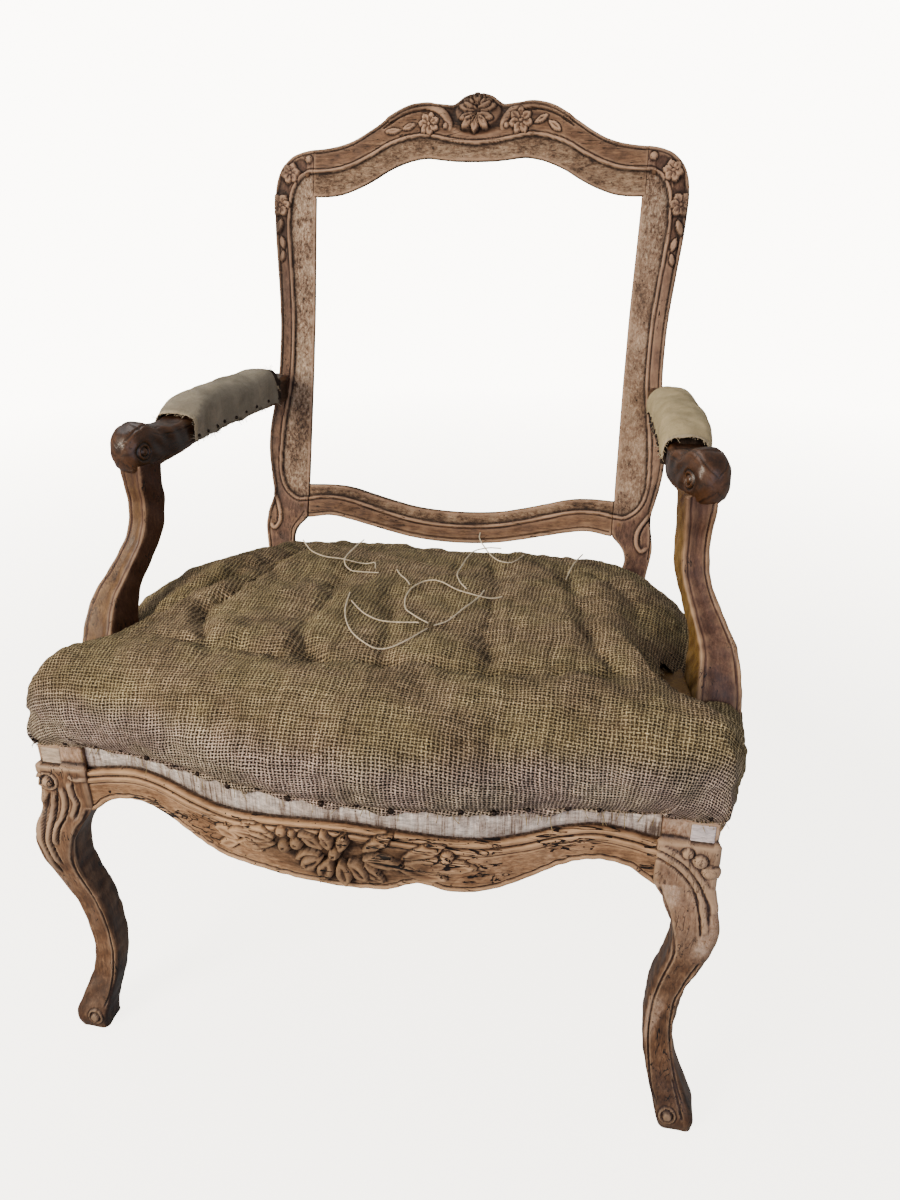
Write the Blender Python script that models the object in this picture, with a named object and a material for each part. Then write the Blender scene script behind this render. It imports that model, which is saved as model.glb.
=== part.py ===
"""Old open armchair with a carved cabriole frame, stripped for reupholstery.

Metres, +Z up. The chair stands on z = 0, faces -Y, and x = 0 is its plane of symmetry. The back is an open,
raked frame. The seat keeps its webbing, base canvas, horsehair and scrim, and each arm keeps its small pad.
Every y below is measured from the middle of the seat frame. At the end the whole chair moves so that the
origin is under the middle of its overall depth.
"""

import math

import bmesh
import bpy
from mathutils import Vector
from mathutils.bvhtree import BVHTree

GAP = 0.0003  # clearance between pieces that touch
FOOTPRINT_Y = 0.0397  # from the middle of the seat frame back to the middle of the overall depth

# Back: its front face is one plane, raked backwards
RAKE = 0.3217  # run per rise
BACK_Z0 = 0.467
BACK_Y0 = 0.209
BACK_THICKNESS = 0.030
RAKE_COS = 1.0 / math.hypot(1.0, RAKE)
RAKE_SIN = RAKE * RAKE_COS

# Seat frame
RAIL_TOP = 0.352
RAIL_DEPTH = 0.032
SIDE_RAIL_WIDTH = 0.038
SIDE_RAIL_BOTTOM = 0.288
REAR_RAIL_BOTTOM = 0.290
REAR_RAIL_Y = (0.182, 0.212)
LEG_JOINT_X = 0.2632
LEG_OUTER_X = 0.310
LEG_FRONT_Y = -0.2620
LEG_BACK_Y = -0.2150
POST_FRONT_Y = 0.178  # front face of the rear post where the seat rails meet it
POST_INNER_X = 0.2045
LEG_LEAN = {"left": 0.0075, "right": 0.0020}  # how far each old front leg has moved to the left

# Upholstery
WEB_WIDTH = 0.048
WEB_THICKNESS = 0.0014
CANVAS_THICKNESS = 0.0012
SCRIM_THICKNESS = 0.0016
SEAT_CENTRE = (0.0, -0.050)
TWINE_RADIUS = 0.0010
TWINE_STEP = 0.0055
TWINE_FINENESS = 20
TWINE_CLEARANCE = 0.0006  # over the scrim's facets

# Joinery
TENON_ROOT = 0.006  # how far a tenon block reaches back into its own rail
PEG_RADIUS = 0.003
PEG_SIDES = 8
PEG_MOUTH = 0.010  # how far the tool that drills a peg's hole starts outside the wood
CREST_PEG = (0.217, 0.842)  # x and z on the back's front face
LOWER_PEG = (0.208, 0.445)
BACK_PEG_LENGTH = 0.026
SEAT_PEG_HEIGHTS = (0.312, 0.330)
SEAT_TENON_HEIGHTS = (0.302, 0.342)

# x of the inner and outer edge, y of the front face and depth of the rear post, by height
POST = (
    (0.000, 0.232, 0.264, 0.262, 0.032),
    (0.060, 0.225, 0.256, 0.244, 0.033),
    (0.130, 0.217, 0.249, 0.217, 0.036),
    (0.200, 0.210, 0.246, 0.193, 0.039),
    (0.250, 0.206, 0.246, 0.1805, 0.040),
    (0.280, POST_INNER_X, 0.2475, POST_FRONT_Y, 0.039),
    (0.360, POST_INNER_X, 0.2495, POST_FRONT_Y, 0.037),
    (0.385, 0.2045, 0.2525, 0.1826, 0.034),
    (0.410, 0.2035, 0.2545, None, None),
    (0.432, 0.2015, 0.2505, None, None),
    (0.457, 0.2000, 0.2465, None, None),
    (0.482, 0.1995, 0.2530, None, None),
    (0.507, 0.1995, 0.2570, None, None),
    (0.532, 0.1995, 0.2570, None, None),
    (0.557, 0.1995, 0.2535, None, None),
    (0.600, 0.1995, 0.2475, None, None),
    (0.640, 0.2000, 0.2465, None, None),
    (0.680, 0.2005, 0.2480, None, None),
    (0.730, 0.2020, 0.2530, None, None),
    (0.775, 0.2035, 0.2580, None, None),
    (0.8144, 0.2045, 0.2600, None, None),
    (0.8149, 0.2085, 0.2600, None, None),
    (0.838, 0.2085, 0.2570, None, None),
    (0.853, 0.2085, 0.2480, None, None),
    (0.8635, 0.2085, 0.2340, None, None),
    (0.8680, 0.2085, 0.2180, None, None),
)
# underside and top of the crest rail, by distance from the middle
CREST = (
    (0.000, 0.8545, 0.9320),
    (0.014, 0.8545, 0.9305),
    (0.024, 0.8550, 0.9230),
    (0.040, 0.8565, 0.9195),
    (0.062, 0.8585, 0.9205),
    (0.082, 0.8555, 0.9185),
    (0.097, 0.8505, 0.9135),
    (0.112, 0.8440, 0.9055),
    (0.127, 0.8355, 0.8960),
    (0.142, 0.8280, 0.8870),
    (0.157, 0.8220, 0.8795),
    (0.172, 0.8175, 0.8745),
    (0.188, 0.8155, 0.8715),
    (0.2082, 0.8152, 0.8690),
)
# underside and top of the lower back rail
LOWER_RAIL = (
    (0.000, 0.4060, 0.4440),
    (0.030, 0.4070, 0.4450),
    (0.060, 0.4100, 0.4480),
    (0.090, 0.4155, 0.4540),
    (0.110, 0.4200, 0.4590),
    (0.145, 0.4270, 0.4670),
    (0.170, 0.4300, 0.4690),
    (0.1992, 0.4260, 0.4680),
)
# front rail: face of the tacking band, lower edge of that band and lower edge of the rail
FRONT_RAIL = (
    (0.000, -0.2920, 0.3330, 0.2700),
    (0.030, -0.2910, 0.3310, 0.2675),
    (0.060, -0.2885, 0.3275, 0.2675),
    (0.090, -0.2840, 0.3240, 0.2690),
    (0.120, -0.2780, 0.3225, 0.2710),
    (0.150, -0.2700, 0.3260, 0.2800),
    (0.180, -0.2630, 0.3330, 0.2950),
    (0.210, -0.2585, 0.3370, 0.3040),
    (0.240, -0.2570, 0.3335, 0.2990),
    (LEG_JOINT_X - GAP, -0.2575, 0.3295, 0.2840),
)
# front leg below its block: centre and side of its square section
LEG = (
    (0.000, 0.3060, -0.2610, 0.031),
    (0.014, 0.3050, -0.2600, 0.036),
    (0.035, 0.2980, -0.2530, 0.033),
    (0.060, 0.2890, -0.2440, 0.029),
    (0.090, 0.2840, -0.2395, 0.028),
    (0.120, 0.2840, -0.2395, 0.029),
    (0.160, 0.2875, -0.2425, 0.031),
    (0.190, 0.2950, -0.2480, 0.033),
    (0.220, 0.3005, -0.2525, 0.035),
    (0.250, 0.3005, -0.2525, 0.039),
    (0.275, 0.2945, -0.2470, 0.044),
)
# outer face of the side rail in plan
SIDE_RAIL = (
    (LEG_BACK_Y + GAP, 0.3085),
    (-0.180, 0.3240),
    (-0.140, 0.3330),
    (-0.100, 0.3310),
    (-0.050, 0.3190),
    (0.010, 0.3010),
    (0.070, 0.2790),
    (0.125, 0.2605),
    (POST_FRONT_Y - GAP, 0.2480),
)
# centre line of the arm, with its width and the height of its underside and top
ARM = (
    ((0.2470, 0.2650, 0.585), 0.031, 0.032),
    ((0.2500, 0.2050, 0.587), 0.034, 0.031),
    ((0.2590, 0.1200, 0.588), 0.036, 0.030),
    ((0.2660, 0.0400, 0.588), 0.036, 0.030),
    ((0.2660, -0.0200, 0.586), 0.034, 0.031),
    ((0.2670, -0.0440, 0.582), 0.032, 0.038),
    ((0.2700, -0.0580, 0.5805), 0.036, 0.0490),
    ((0.2760, -0.0780, 0.5800), 0.038, 0.0500),
    ((0.2820, -0.0930, 0.5790), 0.032, 0.0380),
)
ARM_SPREAD = {"left": 0.0, "right": 0.008}  # the right scroll stands further out in its loose old joint
SPREAD_SPAN = (0.45, 0.85)
# arm support: centre, width across and depth, by height
SUPPORT_TOP = 0.5568
SUPPORT = (
    (RAIL_TOP + GAP, 0.3095, -0.1280, 0.047, 0.050),
    (0.380, 0.3115, -0.1270, 0.047, 0.048),
    (0.410, 0.3095, -0.1190, 0.043, 0.045),
    (0.440, 0.3020, -0.1040, 0.038, 0.041),
    (0.470, 0.2895, -0.0860, 0.033, 0.037),
    (0.500, 0.2770, -0.0730, 0.030, 0.034),
    (0.530, 0.2720, -0.0690, 0.029, 0.032),
    (SUPPORT_TOP, 0.2730, -0.0730, 0.030, 0.032),
)
# outline of the scrim on the rails, right half: from the front's middle round to the back's
OUTLINE_FRONT = (
    (0.0, -0.290),
    (0.07, -0.287),
    (0.13, -0.273),
    (0.19, -0.2585),
    (0.25, -0.2545),
    (0.296, -0.243),
)
OUTLINE_SIDE = (
    (0.296, -0.243),
    (0.3075, -0.215),
    (0.3225, -0.175),
    (0.3290, -0.130),
    (0.3250, -0.080),
    (0.3100, -0.020),
    (0.2860, 0.050),
    (0.2640, 0.110),
    (0.2450, 0.170),
)
OUTLINE_BACK = (
    (0.245, 0.170),
    (0.215, 0.1735),
    (0.190, 0.181),
    (0.175, 0.200),
    (0.130, 0.206),
    (0.0, 0.207),
)
# rolled edge: distance out from the rails and share of the seat's height, from rim to top
FRONT_ROLL = (
    (0.0, 0.0),
    (0.012, 0.20),
    (0.017, 0.45),
    (0.010, 0.70),
    (-0.006, 0.88),
    (-0.024, 0.97),
    (-0.045, 1.0),
)
SIDE_ROLL = (
    (0.0, 0.0),
    (0.000, 0.11),
    (-0.004, 0.21),
    (-0.022, 0.39),
    (-0.048, 0.62),
    (-0.080, 0.85),
    (-0.118, 1.0),
)
REAR_ROLL = (
    (0.0, 0.0),
    (0.003, 0.18),
    (0.001, 0.36),
    (-0.011, 0.55),
    (-0.032, 0.76),
    (-0.062, 0.92),
    (-0.100, 1.0),
)
FRONT_TO_SIDE = (-0.235, -0.170)  # y where the front roll begins to turn into the side one, and ends
SIDE_TO_REAR = (-0.110, -0.010)
CORNER_BULGE = 0.007  # further out where the front corners are stuffed hardest
CORNER_X = (0.235, 0.285)
# stuffed height over the rails, front to back
CROWN = (
    (-0.300, 0.084),
    (-0.200, 0.096),
    (-0.100, 0.102),
    (0.000, 0.099),
    (0.100, 0.075),
    (0.170, 0.052),
    (0.210, 0.040),
)

ROLL_START = 0.60  # inside this share of the way out from the middle, the seat is its crowned top
HALF_STATIONS = (0.20, 0.40, 0.60, 0.71, 0.79, 0.86, 0.93, 1.0)
SEAT_STATIONS = tuple(-share for share in reversed(HALF_STATIONS)) + (0.0,) + HALF_STATIONS
NOTCH_CLEARANCE = 0.0015  # from the arm supports to the cloth and stuffing cut round them
NOTCH_DEPTH = 0.010  # how far the shape that cuts them reaches under the rails' top
CROSS_WEBS = (-0.205, -0.055, 0.025, 0.105)
LONG_WEBS = (-0.145, -0.050, 0.050, 0.145)
WEB_END_INSET = 0.014
WEB_FRONT_INSET = 0.013
WEB_REAR_Y = 0.196
CANVAS_BOTTOM = RAIL_TOP + 2 * WEB_THICKNESS + 3 * GAP
CANVAS_INSET = 0.012
STUFFING_INSET = 0.005  # inside the scrim's walls, and below its top
STUFFING_DROP = 0.0028
CANVAS_STEPS = 12
STUFFING_BOTTOM = CANVAS_BOTTOM + CANVAS_THICKNESS + GAP
ARM_PEG_Z = 0.586
ARM_PEG_DEPTH = 0.011  # behind the back's front face
ARM_LAP_HEIGHTS = (0.530, 0.557, 0.580, 0.600, 0.640)
ARM_LAP_INNER_X = 0.150
ARM_LAP_REACH = 0.060
ARM_SEAT_LOW = (0.245, -0.105, 0.500)  # box that levels the scroll's underside over the support
ARM_SEAT_HIGH = (0.312, -0.048, SUPPORT_TOP + GAP)
PATCH_LOW = (0.2868, LEG_FRONT_Y, 0.3328)
PATCH_HIGH = (0.3065, LEG_FRONT_Y + 0.005, 0.3502)

# pads on the arms: where each begins and ends, as shares of the way from the post
PAD_SPANS = {"left": (0.080, 0.46), "right": (0.115, 0.51)}
PAD_STEPS = 8
PAD_SIDE = 0.0055
PAD_RISE = 0.0160
CALICO_THICKNESS = 0.0012

# loose twine ends on the seat: x, y and height over the scrim
TWINES = {
    "twine_1": (
        (-0.129, -0.008, 0.016),
        (-0.118, -0.017, 0.007),
        (-0.100, -0.019, 0.001),
        (-0.080, -0.017, 0.001),
        (-0.060, -0.013, 0.001),
        (-0.046, -0.019, 0.001),
        (-0.040, -0.036, 0.000),
    ),
    "twine_2": (
        (-0.064, 0.007, 0.022),
        (-0.072, -0.005, 0.012),
        (-0.076, -0.029, 0.006),
        (-0.064, -0.044, 0.003),
        (-0.050, -0.046, 0.001),
        (-0.034, -0.045, 0.000),
    ),
    "twine_3": (
        (-0.017, -0.034, 0.001),
        (-0.004, -0.058, 0.002),
        (0.007, -0.076, 0.000),
    ),
    "twine_4": (
        (0.042, -0.149, 0.000),
        (0.029, -0.141, 0.001),
        (0.015, -0.124, 0.001),
        (0.008, -0.098, 0.001),
        (0.011, -0.078, 0.001),
        (0.021, -0.064, 0.000),
        (0.037, -0.064, 0.000),
        (0.058, -0.078, 0.000),
        (0.087, -0.083, 0.000),
        (0.101, -0.077, 0.000),
    ),
    "twine_5": (
        (0.083, -0.076, 0.004),
        (0.079, -0.094, 0.003),
        (0.069, -0.120, 0.001),
        (0.060, -0.141, 0.000),
        (0.048, -0.151, 0.000),
    ),
    "twine_6": (
        (0.082, 0.047, 0.010),
        (0.066, 0.047, 0.009),
        (0.052, 0.034, 0.006),
        (0.047, -0.002, 0.003),
        (0.048, -0.036, 0.001),
        (0.056, -0.062, 0.001),
        (0.065, -0.075, 0.000),
    ),
    "twine_7": (
        (0.055, 0.066, 0.027),
        (0.056, 0.055, 0.020),
        (0.064, 0.037, 0.014),
        (0.080, 0.018, 0.006),
        (0.095, 0.014, 0.000),
        (0.104, 0.030, 0.000),
        (0.106, 0.060, 0.002),
    ),
    "twine_8": (
        (-0.041, -0.119, 0.000),
        (-0.020, -0.142, 0.001),
        (0.002, -0.150, 0.001),
        (0.034, -0.151, 0.000),
    ),
    "twine_9": (
        (-0.047, -0.104, 0.000),
        (-0.040, -0.143, 0.001),
        (-0.025, -0.175, 0.001),
        (-0.006, -0.193, 0.002),
        (0.012, -0.194, 0.002),
        (0.028, -0.184, 0.001),
        (0.043, -0.157, 0.000),
    ),
    "twine_10": (
        (0.158, -0.000, 0.000),
        (0.163, 0.030, 0.003),
        (0.171, 0.071, 0.009),
    ),
}

WOOD_BACK = (0.26, 0.17, 0.12)
WOOD_SEAT = (0.34, 0.21, 0.12)
WOOD_ARM = (0.10, 0.045, 0.018)
PALE_WOOD = (0.60, 0.52, 0.52)
PEG_WOOD = (0.20, 0.12, 0.07)
JUTE_WEB = (0.30, 0.20, 0.10)
CANVAS = (0.34, 0.28, 0.17)
HORSEHAIR = (0.05, 0.035, 0.025)
SCRIM = (0.27, 0.20, 0.11)
CALICO = (0.45, 0.40, 0.30)
TWINE = (0.68, 0.55, 0.36)


def finish(name, colour, roughness=0.75):
    """The Principled material of this name, made once."""
    found = bpy.data.materials.get(name)
    if found:
        return found
    made = bpy.data.materials.new(name)
    made.use_nodes = True
    shader = made.node_tree.nodes["Principled BSDF"]
    shader.inputs["Base Color"].default_value = (*colour, 1.0)
    shader.inputs["Roughness"].default_value = roughness
    shader.inputs["Metallic"].default_value = 0.0
    made.diffuse_color = (*colour, 1.0)
    return made


def helper_finish():
    """The finish of shapes that only cut or join others."""
    return finish("helper", (0.5, 0.5, 0.5))


def add_object(name, mesh, material):
    """A new object that holds this mesh and material."""
    mesh.materials.append(material)
    made = bpy.data.objects.new(name, mesh)
    bpy.context.scene.collection.objects.link(made)
    return made


def solid_from(name, points, faces, material):
    """A closed mesh object with its faces turned outwards."""
    body = bmesh.new()
    corners = [body.verts.new(point) for point in points]
    for face in faces:
        body.faces.new([corners[index] for index in face])
    bmesh.ops.recalc_face_normals(body, faces=body.faces)
    bmesh.ops.triangulate(body, faces=[face for face in body.faces if len(face.verts) > 4])
    mesh = bpy.data.meshes.new(name)
    body.to_mesh(mesh)
    body.free()
    if sum(p.center.dot(p.normal) * p.area for p in mesh.polygons) < 0:
        mesh.flip_normals()
    mesh.shade_smooth()
    mesh.set_sharp_from_angle(angle=math.radians(35))
    return add_object(name, mesh, material)


def loft(name, rings, material):
    """A solid through rings of equal count, closed by a flat face at each end."""
    count = len(rings[0])
    points = [point for ring in rings for point in ring]
    faces = [tuple(reversed(range(count)))]
    for step in range(len(rings) - 1):
        base = step * count
        for side in range(count):
            following = (side + 1) % count
            faces.append((base + side, base + following, base + count + following, base + count + side))
    faces.append(tuple(range(len(points) - count, len(points))))
    return solid_from(name, points, faces, material)


def spline(values, position):
    """Hermite value at a position, counted in steps along a list of tuples."""
    last = len(values) - 1
    index = min(max(int(math.floor(position)), 0), last - 1)
    t = min(max(position - index, 0.0), 1.0)
    a = values[max(index - 1, 0)]
    b, c = values[index], values[index + 1]
    d = values[min(index + 2, last)]
    found = []
    for p0, p1, p2, p3 in zip(a, b, c, d):
        m1, m2 = (p2 - p0) / 2, (p3 - p1) / 2
        found.append(
            (2 * t**3 - 3 * t**2 + 1) * p1
            + (t**3 - 2 * t**2 + t) * m1
            + (3 * t**2 - 2 * t**3) * p2
            + (t**3 - t**2) * m2
        )
    return tuple(found)


def smooth_step(value, begin, end):
    """0 before begin, 1 after end and eased between them."""
    turn = min(max((value - begin) / (end - begin), 0.0), 1.0)
    return turn * turn * (3.0 - 2.0 * turn)


def read_table(table, key):
    """Row of a table at a key between its first-column values, eased between neighbours."""
    for index in range(len(table) - 1):
        low, high = table[index][0], table[index + 1][0]
        if key <= high or index == len(table) - 2:
            share = min(max((key - low) / (high - low), 0.0), 1.0)
            return spline([row[1:] for row in table], index + share)
    return table[-1][1:]


def back_y(z):
    """y of the front face of the raked back at this height."""
    return BACK_Y0 + RAKE * (z - BACK_Z0)


def back_point(x, z, depth):
    """Point behind the back's front face, measured square to it."""
    return Vector((x, back_y(z) + depth * RAKE_COS, z - depth * RAKE_SIN))


def chamfered(u0, u1, v0, v1, cut):
    """Outline of a rectangle with its four corners cut."""
    return (
        (u0 + cut, v0),
        (u1 - cut, v0),
        (u1, v0 + cut),
        (u1, v1 - cut),
        (u1 - cut, v1),
        (u0 + cut, v1),
        (u0, v1 - cut),
        (u0, v0 + cut),
    )


def mirrored(points, side):
    """The same points on the left or the right of the chair."""
    return [Vector((side * p[0], p[1], p[2])) for p in points]


def side_of(hand):
    return -1.0 if hand == "left" else 1.0


def back_post(hand):
    """Rear leg and back upright, sawn from one piece."""
    rings = []
    for z, inner, outer, front, depth in POST:
        if front is None:
            outline = chamfered(inner, outer, 0.0, BACK_THICKNESS, 0.0035)
            ring = [back_point(x, z, behind) for x, behind in outline]
        else:
            ring = [(x, y, z) for x, y in chamfered(inner, outer, front, front + depth, 0.0035)]
        rings.append(mirrored(ring, side_of(hand)))
    return loft(f"{hand}_back_post", rings, finish("wood_back", WOOD_BACK))


def rail_between_posts(name, table, setback, thickness):
    """A back rail between the uprights, with its table of underside and top."""
    stations = [-row[0] for row in reversed(table)] + [row[0] for row in table[1:]]
    rings = []
    for x in stations:
        low, high = read_table(table, abs(x))
        outline = chamfered(setback, setback + thickness, low, high, 0.003)
        rings.append([back_point(x, z, depth) for depth, z in outline])
    return loft(name, rings, finish("wood_back", WOOD_BACK))


def front_rail():
    """Serpentine front seat rail with its tacking band and moulded lower edge."""
    stations = [-row[0] for row in reversed(FRONT_RAIL)] + [row[0] for row in FRONT_RAIL[1:]]
    rings = []
    for x in stations:
        face, band, low = read_table(FRONT_RAIL, abs(x))
        outline = (
            (face + RAIL_DEPTH, low + 0.002),
            (face + RAIL_DEPTH, RAIL_TOP),
            (face + 0.002, RAIL_TOP),
            (face, RAIL_TOP - 0.002),
            (face, band),
            (face - 0.007, band - 0.005),
            (face - 0.010, low + 0.008),
            (face - 0.006, low),
        )
        rings.append([Vector((x, y, z)) for y, z in outline])
    return loft("front_seat_rail", rings, finish("wood_seat", WOOD_SEAT))


def side_rail(hand):
    """Bowed side seat rail, widest where the arm support stands on it."""
    steps = 16
    first, last = SIDE_RAIL[0][0], SIDE_RAIL[-1][0]
    rings = []
    for step in range(steps + 1):
        y = first + (last - first) * step / steps
        (outer,) = read_table(SIDE_RAIL, y)
        outline = chamfered(outer - SIDE_RAIL_WIDTH, outer, SIDE_RAIL_BOTTOM, RAIL_TOP, 0.002)
        rings.append(mirrored([(x, y, z) for x, z in outline], side_of(hand)))
    return loft(f"{hand}_side_rail", rings, finish("wood_seat", WOOD_SEAT))


def rear_rail():
    """Plain straight rail between the rear posts."""
    half = POST_INNER_X - GAP
    outline = chamfered(*REAR_RAIL_Y, REAR_RAIL_BOTTOM, RAIL_TOP, 0.002)
    rings = [[Vector((x, y, z)) for y, z in outline] for x in (-half, half)]
    return loft("rear_seat_rail", rings, finish("wood_seat", WOOD_SEAT))


def front_leg(hand):
    """Cabriole front leg: a square block at the rails, a knee, a slim ankle and a scrolled toe."""
    rings = []
    for z, x, y, width in LEG:
        half = width / 2
        outline = chamfered(x - half, x + half, y - half, y + half, width * 0.16)
        lean = LEG_LEAN[hand] * math.sin(math.pi * z / LEG[-1][0]) ** 0.5
        ring = mirrored([(px, py, z) for px, py in outline], side_of(hand))
        rings.append([point - Vector((lean, 0.0, 0.0)) for point in ring])
    for z in (0.292, RAIL_TOP):
        outline = chamfered(LEG_JOINT_X, LEG_OUTER_X, LEG_FRONT_Y, LEG_BACK_Y, 0.003)
        rings.append(mirrored([(px, py, z) for px, py in outline], side_of(hand)))
    return loft(f"{hand}_front_leg", rings, finish("wood_seat", WOOD_SEAT))


def arm_frame(share, hand):
    """Point on the arm's centre line and its cross directions, at a share of the way from the post."""
    rows = []
    for index, (centre, width, height) in enumerate(ARM):
        spread = ARM_SPREAD[hand] * smooth_step(index / (len(ARM) - 1), *SPREAD_SPAN)
        rows.append((centre[0] + spread, centre[1], centre[2], width, height))
    position = share * (len(rows) - 1)
    here = spline(rows, position)
    ahead = Vector(spline(rows, min(position + 0.05, len(rows) - 1))[:3])
    behind = Vector(spline(rows, max(position - 0.05, 0.0))[:3])
    along = (ahead - behind).normalized()
    across = along.cross(Vector((0.0, 0.0, 1.0))).normalized()
    upward = across.cross(along).normalized()
    return Vector(here[:3]), across, upward, here[3], here[4]


def arm_ring(share, outline, hand):
    """An outline in the arm's cross-section, placed on the chair."""
    centre, across, upward, _, _ = arm_frame(share, hand)
    return mirrored([centre + across * u + upward * v for u, v in outline], side_of(hand))


def arm(hand):
    """Open arm, screwed to the post and ending in a scroll over its support."""
    steps = 32
    rings = []
    for step in range(steps + 1):
        share = step / steps
        _, _, _, width, height = arm_frame(share, hand)
        outline = chamfered(-width / 2, width / 2, -height / 2, height / 2, 0.004)
        rings.append(arm_ring(share, outline, hand))
    return loft(f"{hand}_arm", rings, finish("wood_arm", WOOD_ARM, 0.45))


def support_rings(side, grow, low=None):
    """Rings of the arm support, grown on every side by the same amount."""
    rings = []
    for z, x, y, width, depth in SUPPORT:
        half_x, half_y = width / 2 + grow, depth / 2 + grow
        outline = chamfered(x - half_x, x + half_x, y - half_y, y + half_y, 0.004)
        height = low if low is not None and z < RAIL_TOP + 0.001 else z
        rings.append(mirrored([(px, py, height) for px, py in outline], side))
    return rings


def arm_support(hand):
    """Whiplash arm support, standing on the side rail."""
    return loft(f"{hand}_arm_support", support_rings(side_of(hand), 0.0), finish("wood_arm", WOOD_ARM, 0.45))


def cutter_from(made):
    """Marks an object as a shape that only cuts others."""
    made.hide_render = True
    made.display_type = "WIRE"
    return made


def boolean(target, other, operation):
    """Adds a Boolean with this shape."""
    modifier = target.modifiers.new(other.name, "BOOLEAN")
    modifier.operation = operation
    modifier.solver = "EXACT"
    modifier.object = other


def rectangle(low, high):
    """Corners of a rectangle, in order round it."""
    return (low[0], low[1]), (high[0], low[1]), (high[0], high[1]), (low[0], high[1])


def block(name, low, high, material):
    """A plain box between two corners."""
    rings = [[Vector((x, y, z)) for x, y in rectangle(low, high)] for z in (low[2], high[2])]
    return loft(name, rings, material)


def box(name, low, high):
    """A helper box between two corners."""
    return cutter_from(block(name, low, high, helper_finish()))


def tenon(name, tenoned, mortised, low, high, axis):
    """Tenon along one axis: it joins the first piece and has its mortise in the second, GAP clear all round.

    The corners give the tenon in the mortise; its root reaches back into the tenoned piece on the side
    that axis names with its sign.
    """
    index = abs(axis) - 1
    root_low, root_high = list(low), list(high)
    if axis > 0:
        root_low[index] -= TENON_ROOT
    else:
        root_high[index] += TENON_ROOT
    boolean(tenoned, box(f"{name}_tenon", root_low, root_high), "UNION")
    wide_low = [value - GAP for value in low]
    wide_high = [value + GAP for value in high]
    if axis > 0:
        wide_low[index] = low[index] - TENON_ROOT
    else:
        wide_high[index] = high[index] + TENON_ROOT
    boolean(mortised, box(f"{name}_mortise", wide_low, wide_high), "DIFFERENCE")


def round_bar(name, start, end, radius, sides, material):
    """A straight round bar between two points."""
    start, end = Vector(start), Vector(end)
    along = (end - start).normalized()
    u = along.orthogonal().normalized()
    v = along.cross(u)
    rings = []
    for centre in (start, end):
        turns = [2 * math.pi * step / sides for step in range(sides)]
        rings.append([centre + radius * (u * math.cos(t) + v * math.sin(t)) for t in turns])
    return loft(name, rings, material)


def peg(name, start, end, through):
    """Oak peg driven through a joint, with its hole in each piece that it passes."""
    made = round_bar(name, start, end, PEG_RADIUS, PEG_SIDES, finish("peg_wood", PEG_WOOD))
    start, end = Vector(start), Vector(end)
    along = (end - start).normalized()
    mouth, floor = start - along * PEG_MOUTH, end + along * GAP
    hole = cutter_from(round_bar(f"{name}_hole", mouth, floor, PEG_RADIUS + GAP, PEG_SIDES, helper_finish()))
    for piece in through:
        boolean(piece, hole, "DIFFERENCE")
    return made


def mirror_span(low, high, side):
    """Corners of a box, moved to the left or the right half of the chair."""
    xs = sorted((side * low[0], side * high[0]))
    return (xs[0], low[1], low[2]), (xs[1], high[1], high[2])


def outline_point(alpha, beta):
    """Point of the seat's outline for a direction on the unit square."""
    side = -1.0 if alpha < 0 else 1.0
    if beta <= -1.0 + 1e-6:
        points, share = OUTLINE_FRONT, abs(alpha)
    elif beta >= 1.0 - 1e-6:
        points, share = OUTLINE_BACK, 1.0 - abs(alpha)
    else:
        points, share = OUTLINE_SIDE, (beta + 1.0) / 2.0
    x, y = spline(points, share * (len(points) - 1))
    return Vector((side * x, y))


def roll_at(rim, share):
    """Outset and share of height on the rolled edge, which is fuller along the front than at the sides."""
    to_side = smooth_step(rim.y, *FRONT_TO_SIDE)
    to_rear = smooth_step(rim.y, *SIDE_TO_REAR)
    rows = [spline(table, share * (len(table) - 1)) for table in (FRONT_ROLL, SIDE_ROLL, REAR_ROLL)]
    outset, rise = (f + (s - f) * to_side + (r - s) * to_rear for f, s, r in zip(*rows))
    corner = smooth_step(abs(rim.x), *CORNER_X) * (1.0 - to_side)
    return outset + CORNER_BULGE * corner * math.sin(math.pi * share) ** 2, rise


def seat_point(a, b):
    """Point on the outside of the scrim: a runs across and b runs back, each from -1 to 1."""
    rho = max(abs(a), abs(b))
    centre = Vector(SEAT_CENTRE)
    if rho < 1e-6:
        plan, share = centre, 1.0
    else:
        rim = outline_point(a / rho, b / rho)
        reach = (centre - rim).length
        inward = (centre - rim) / reach
        if rho > ROLL_START:
            outset, share = roll_at(rim, (1.0 - rho) / (1.0 - ROLL_START))
            plan = rim - inward * outset
        else:
            roll = -roll_at(rim, 1.0)[0]
            plan = rim + inward * (roll + (reach - roll) * (1.0 - rho / ROLL_START))
            share = 1.0
    (crown,) = read_table(CROWN, plan.y)
    return Vector((plan.x, plan.y, RAIL_TOP + GAP + crown * share))


def seat_grid(sink):
    """Grid of points a fixed depth under the outside of the scrim."""
    size = len(SEAT_STATIONS)
    outer = [[seat_point(a, b) for b in SEAT_STATIONS] for a in SEAT_STATIONS]
    if sink == 0.0:
        return outer
    sunk = []
    for i in range(size):
        row = []
        for j in range(size):
            across = outer[min(i + 1, size - 1)][j] - outer[max(i - 1, 0)][j]
            back = outer[i][min(j + 1, size - 1)] - outer[i][max(j - 1, 0)]
            point = outer[i][j] - across.cross(back).normalized() * sink
            if i in (0, size - 1) or j in (0, size - 1):
                point.z = outer[i][j].z
            row.append(point)
        sunk.append(row)
    return sunk


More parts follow.
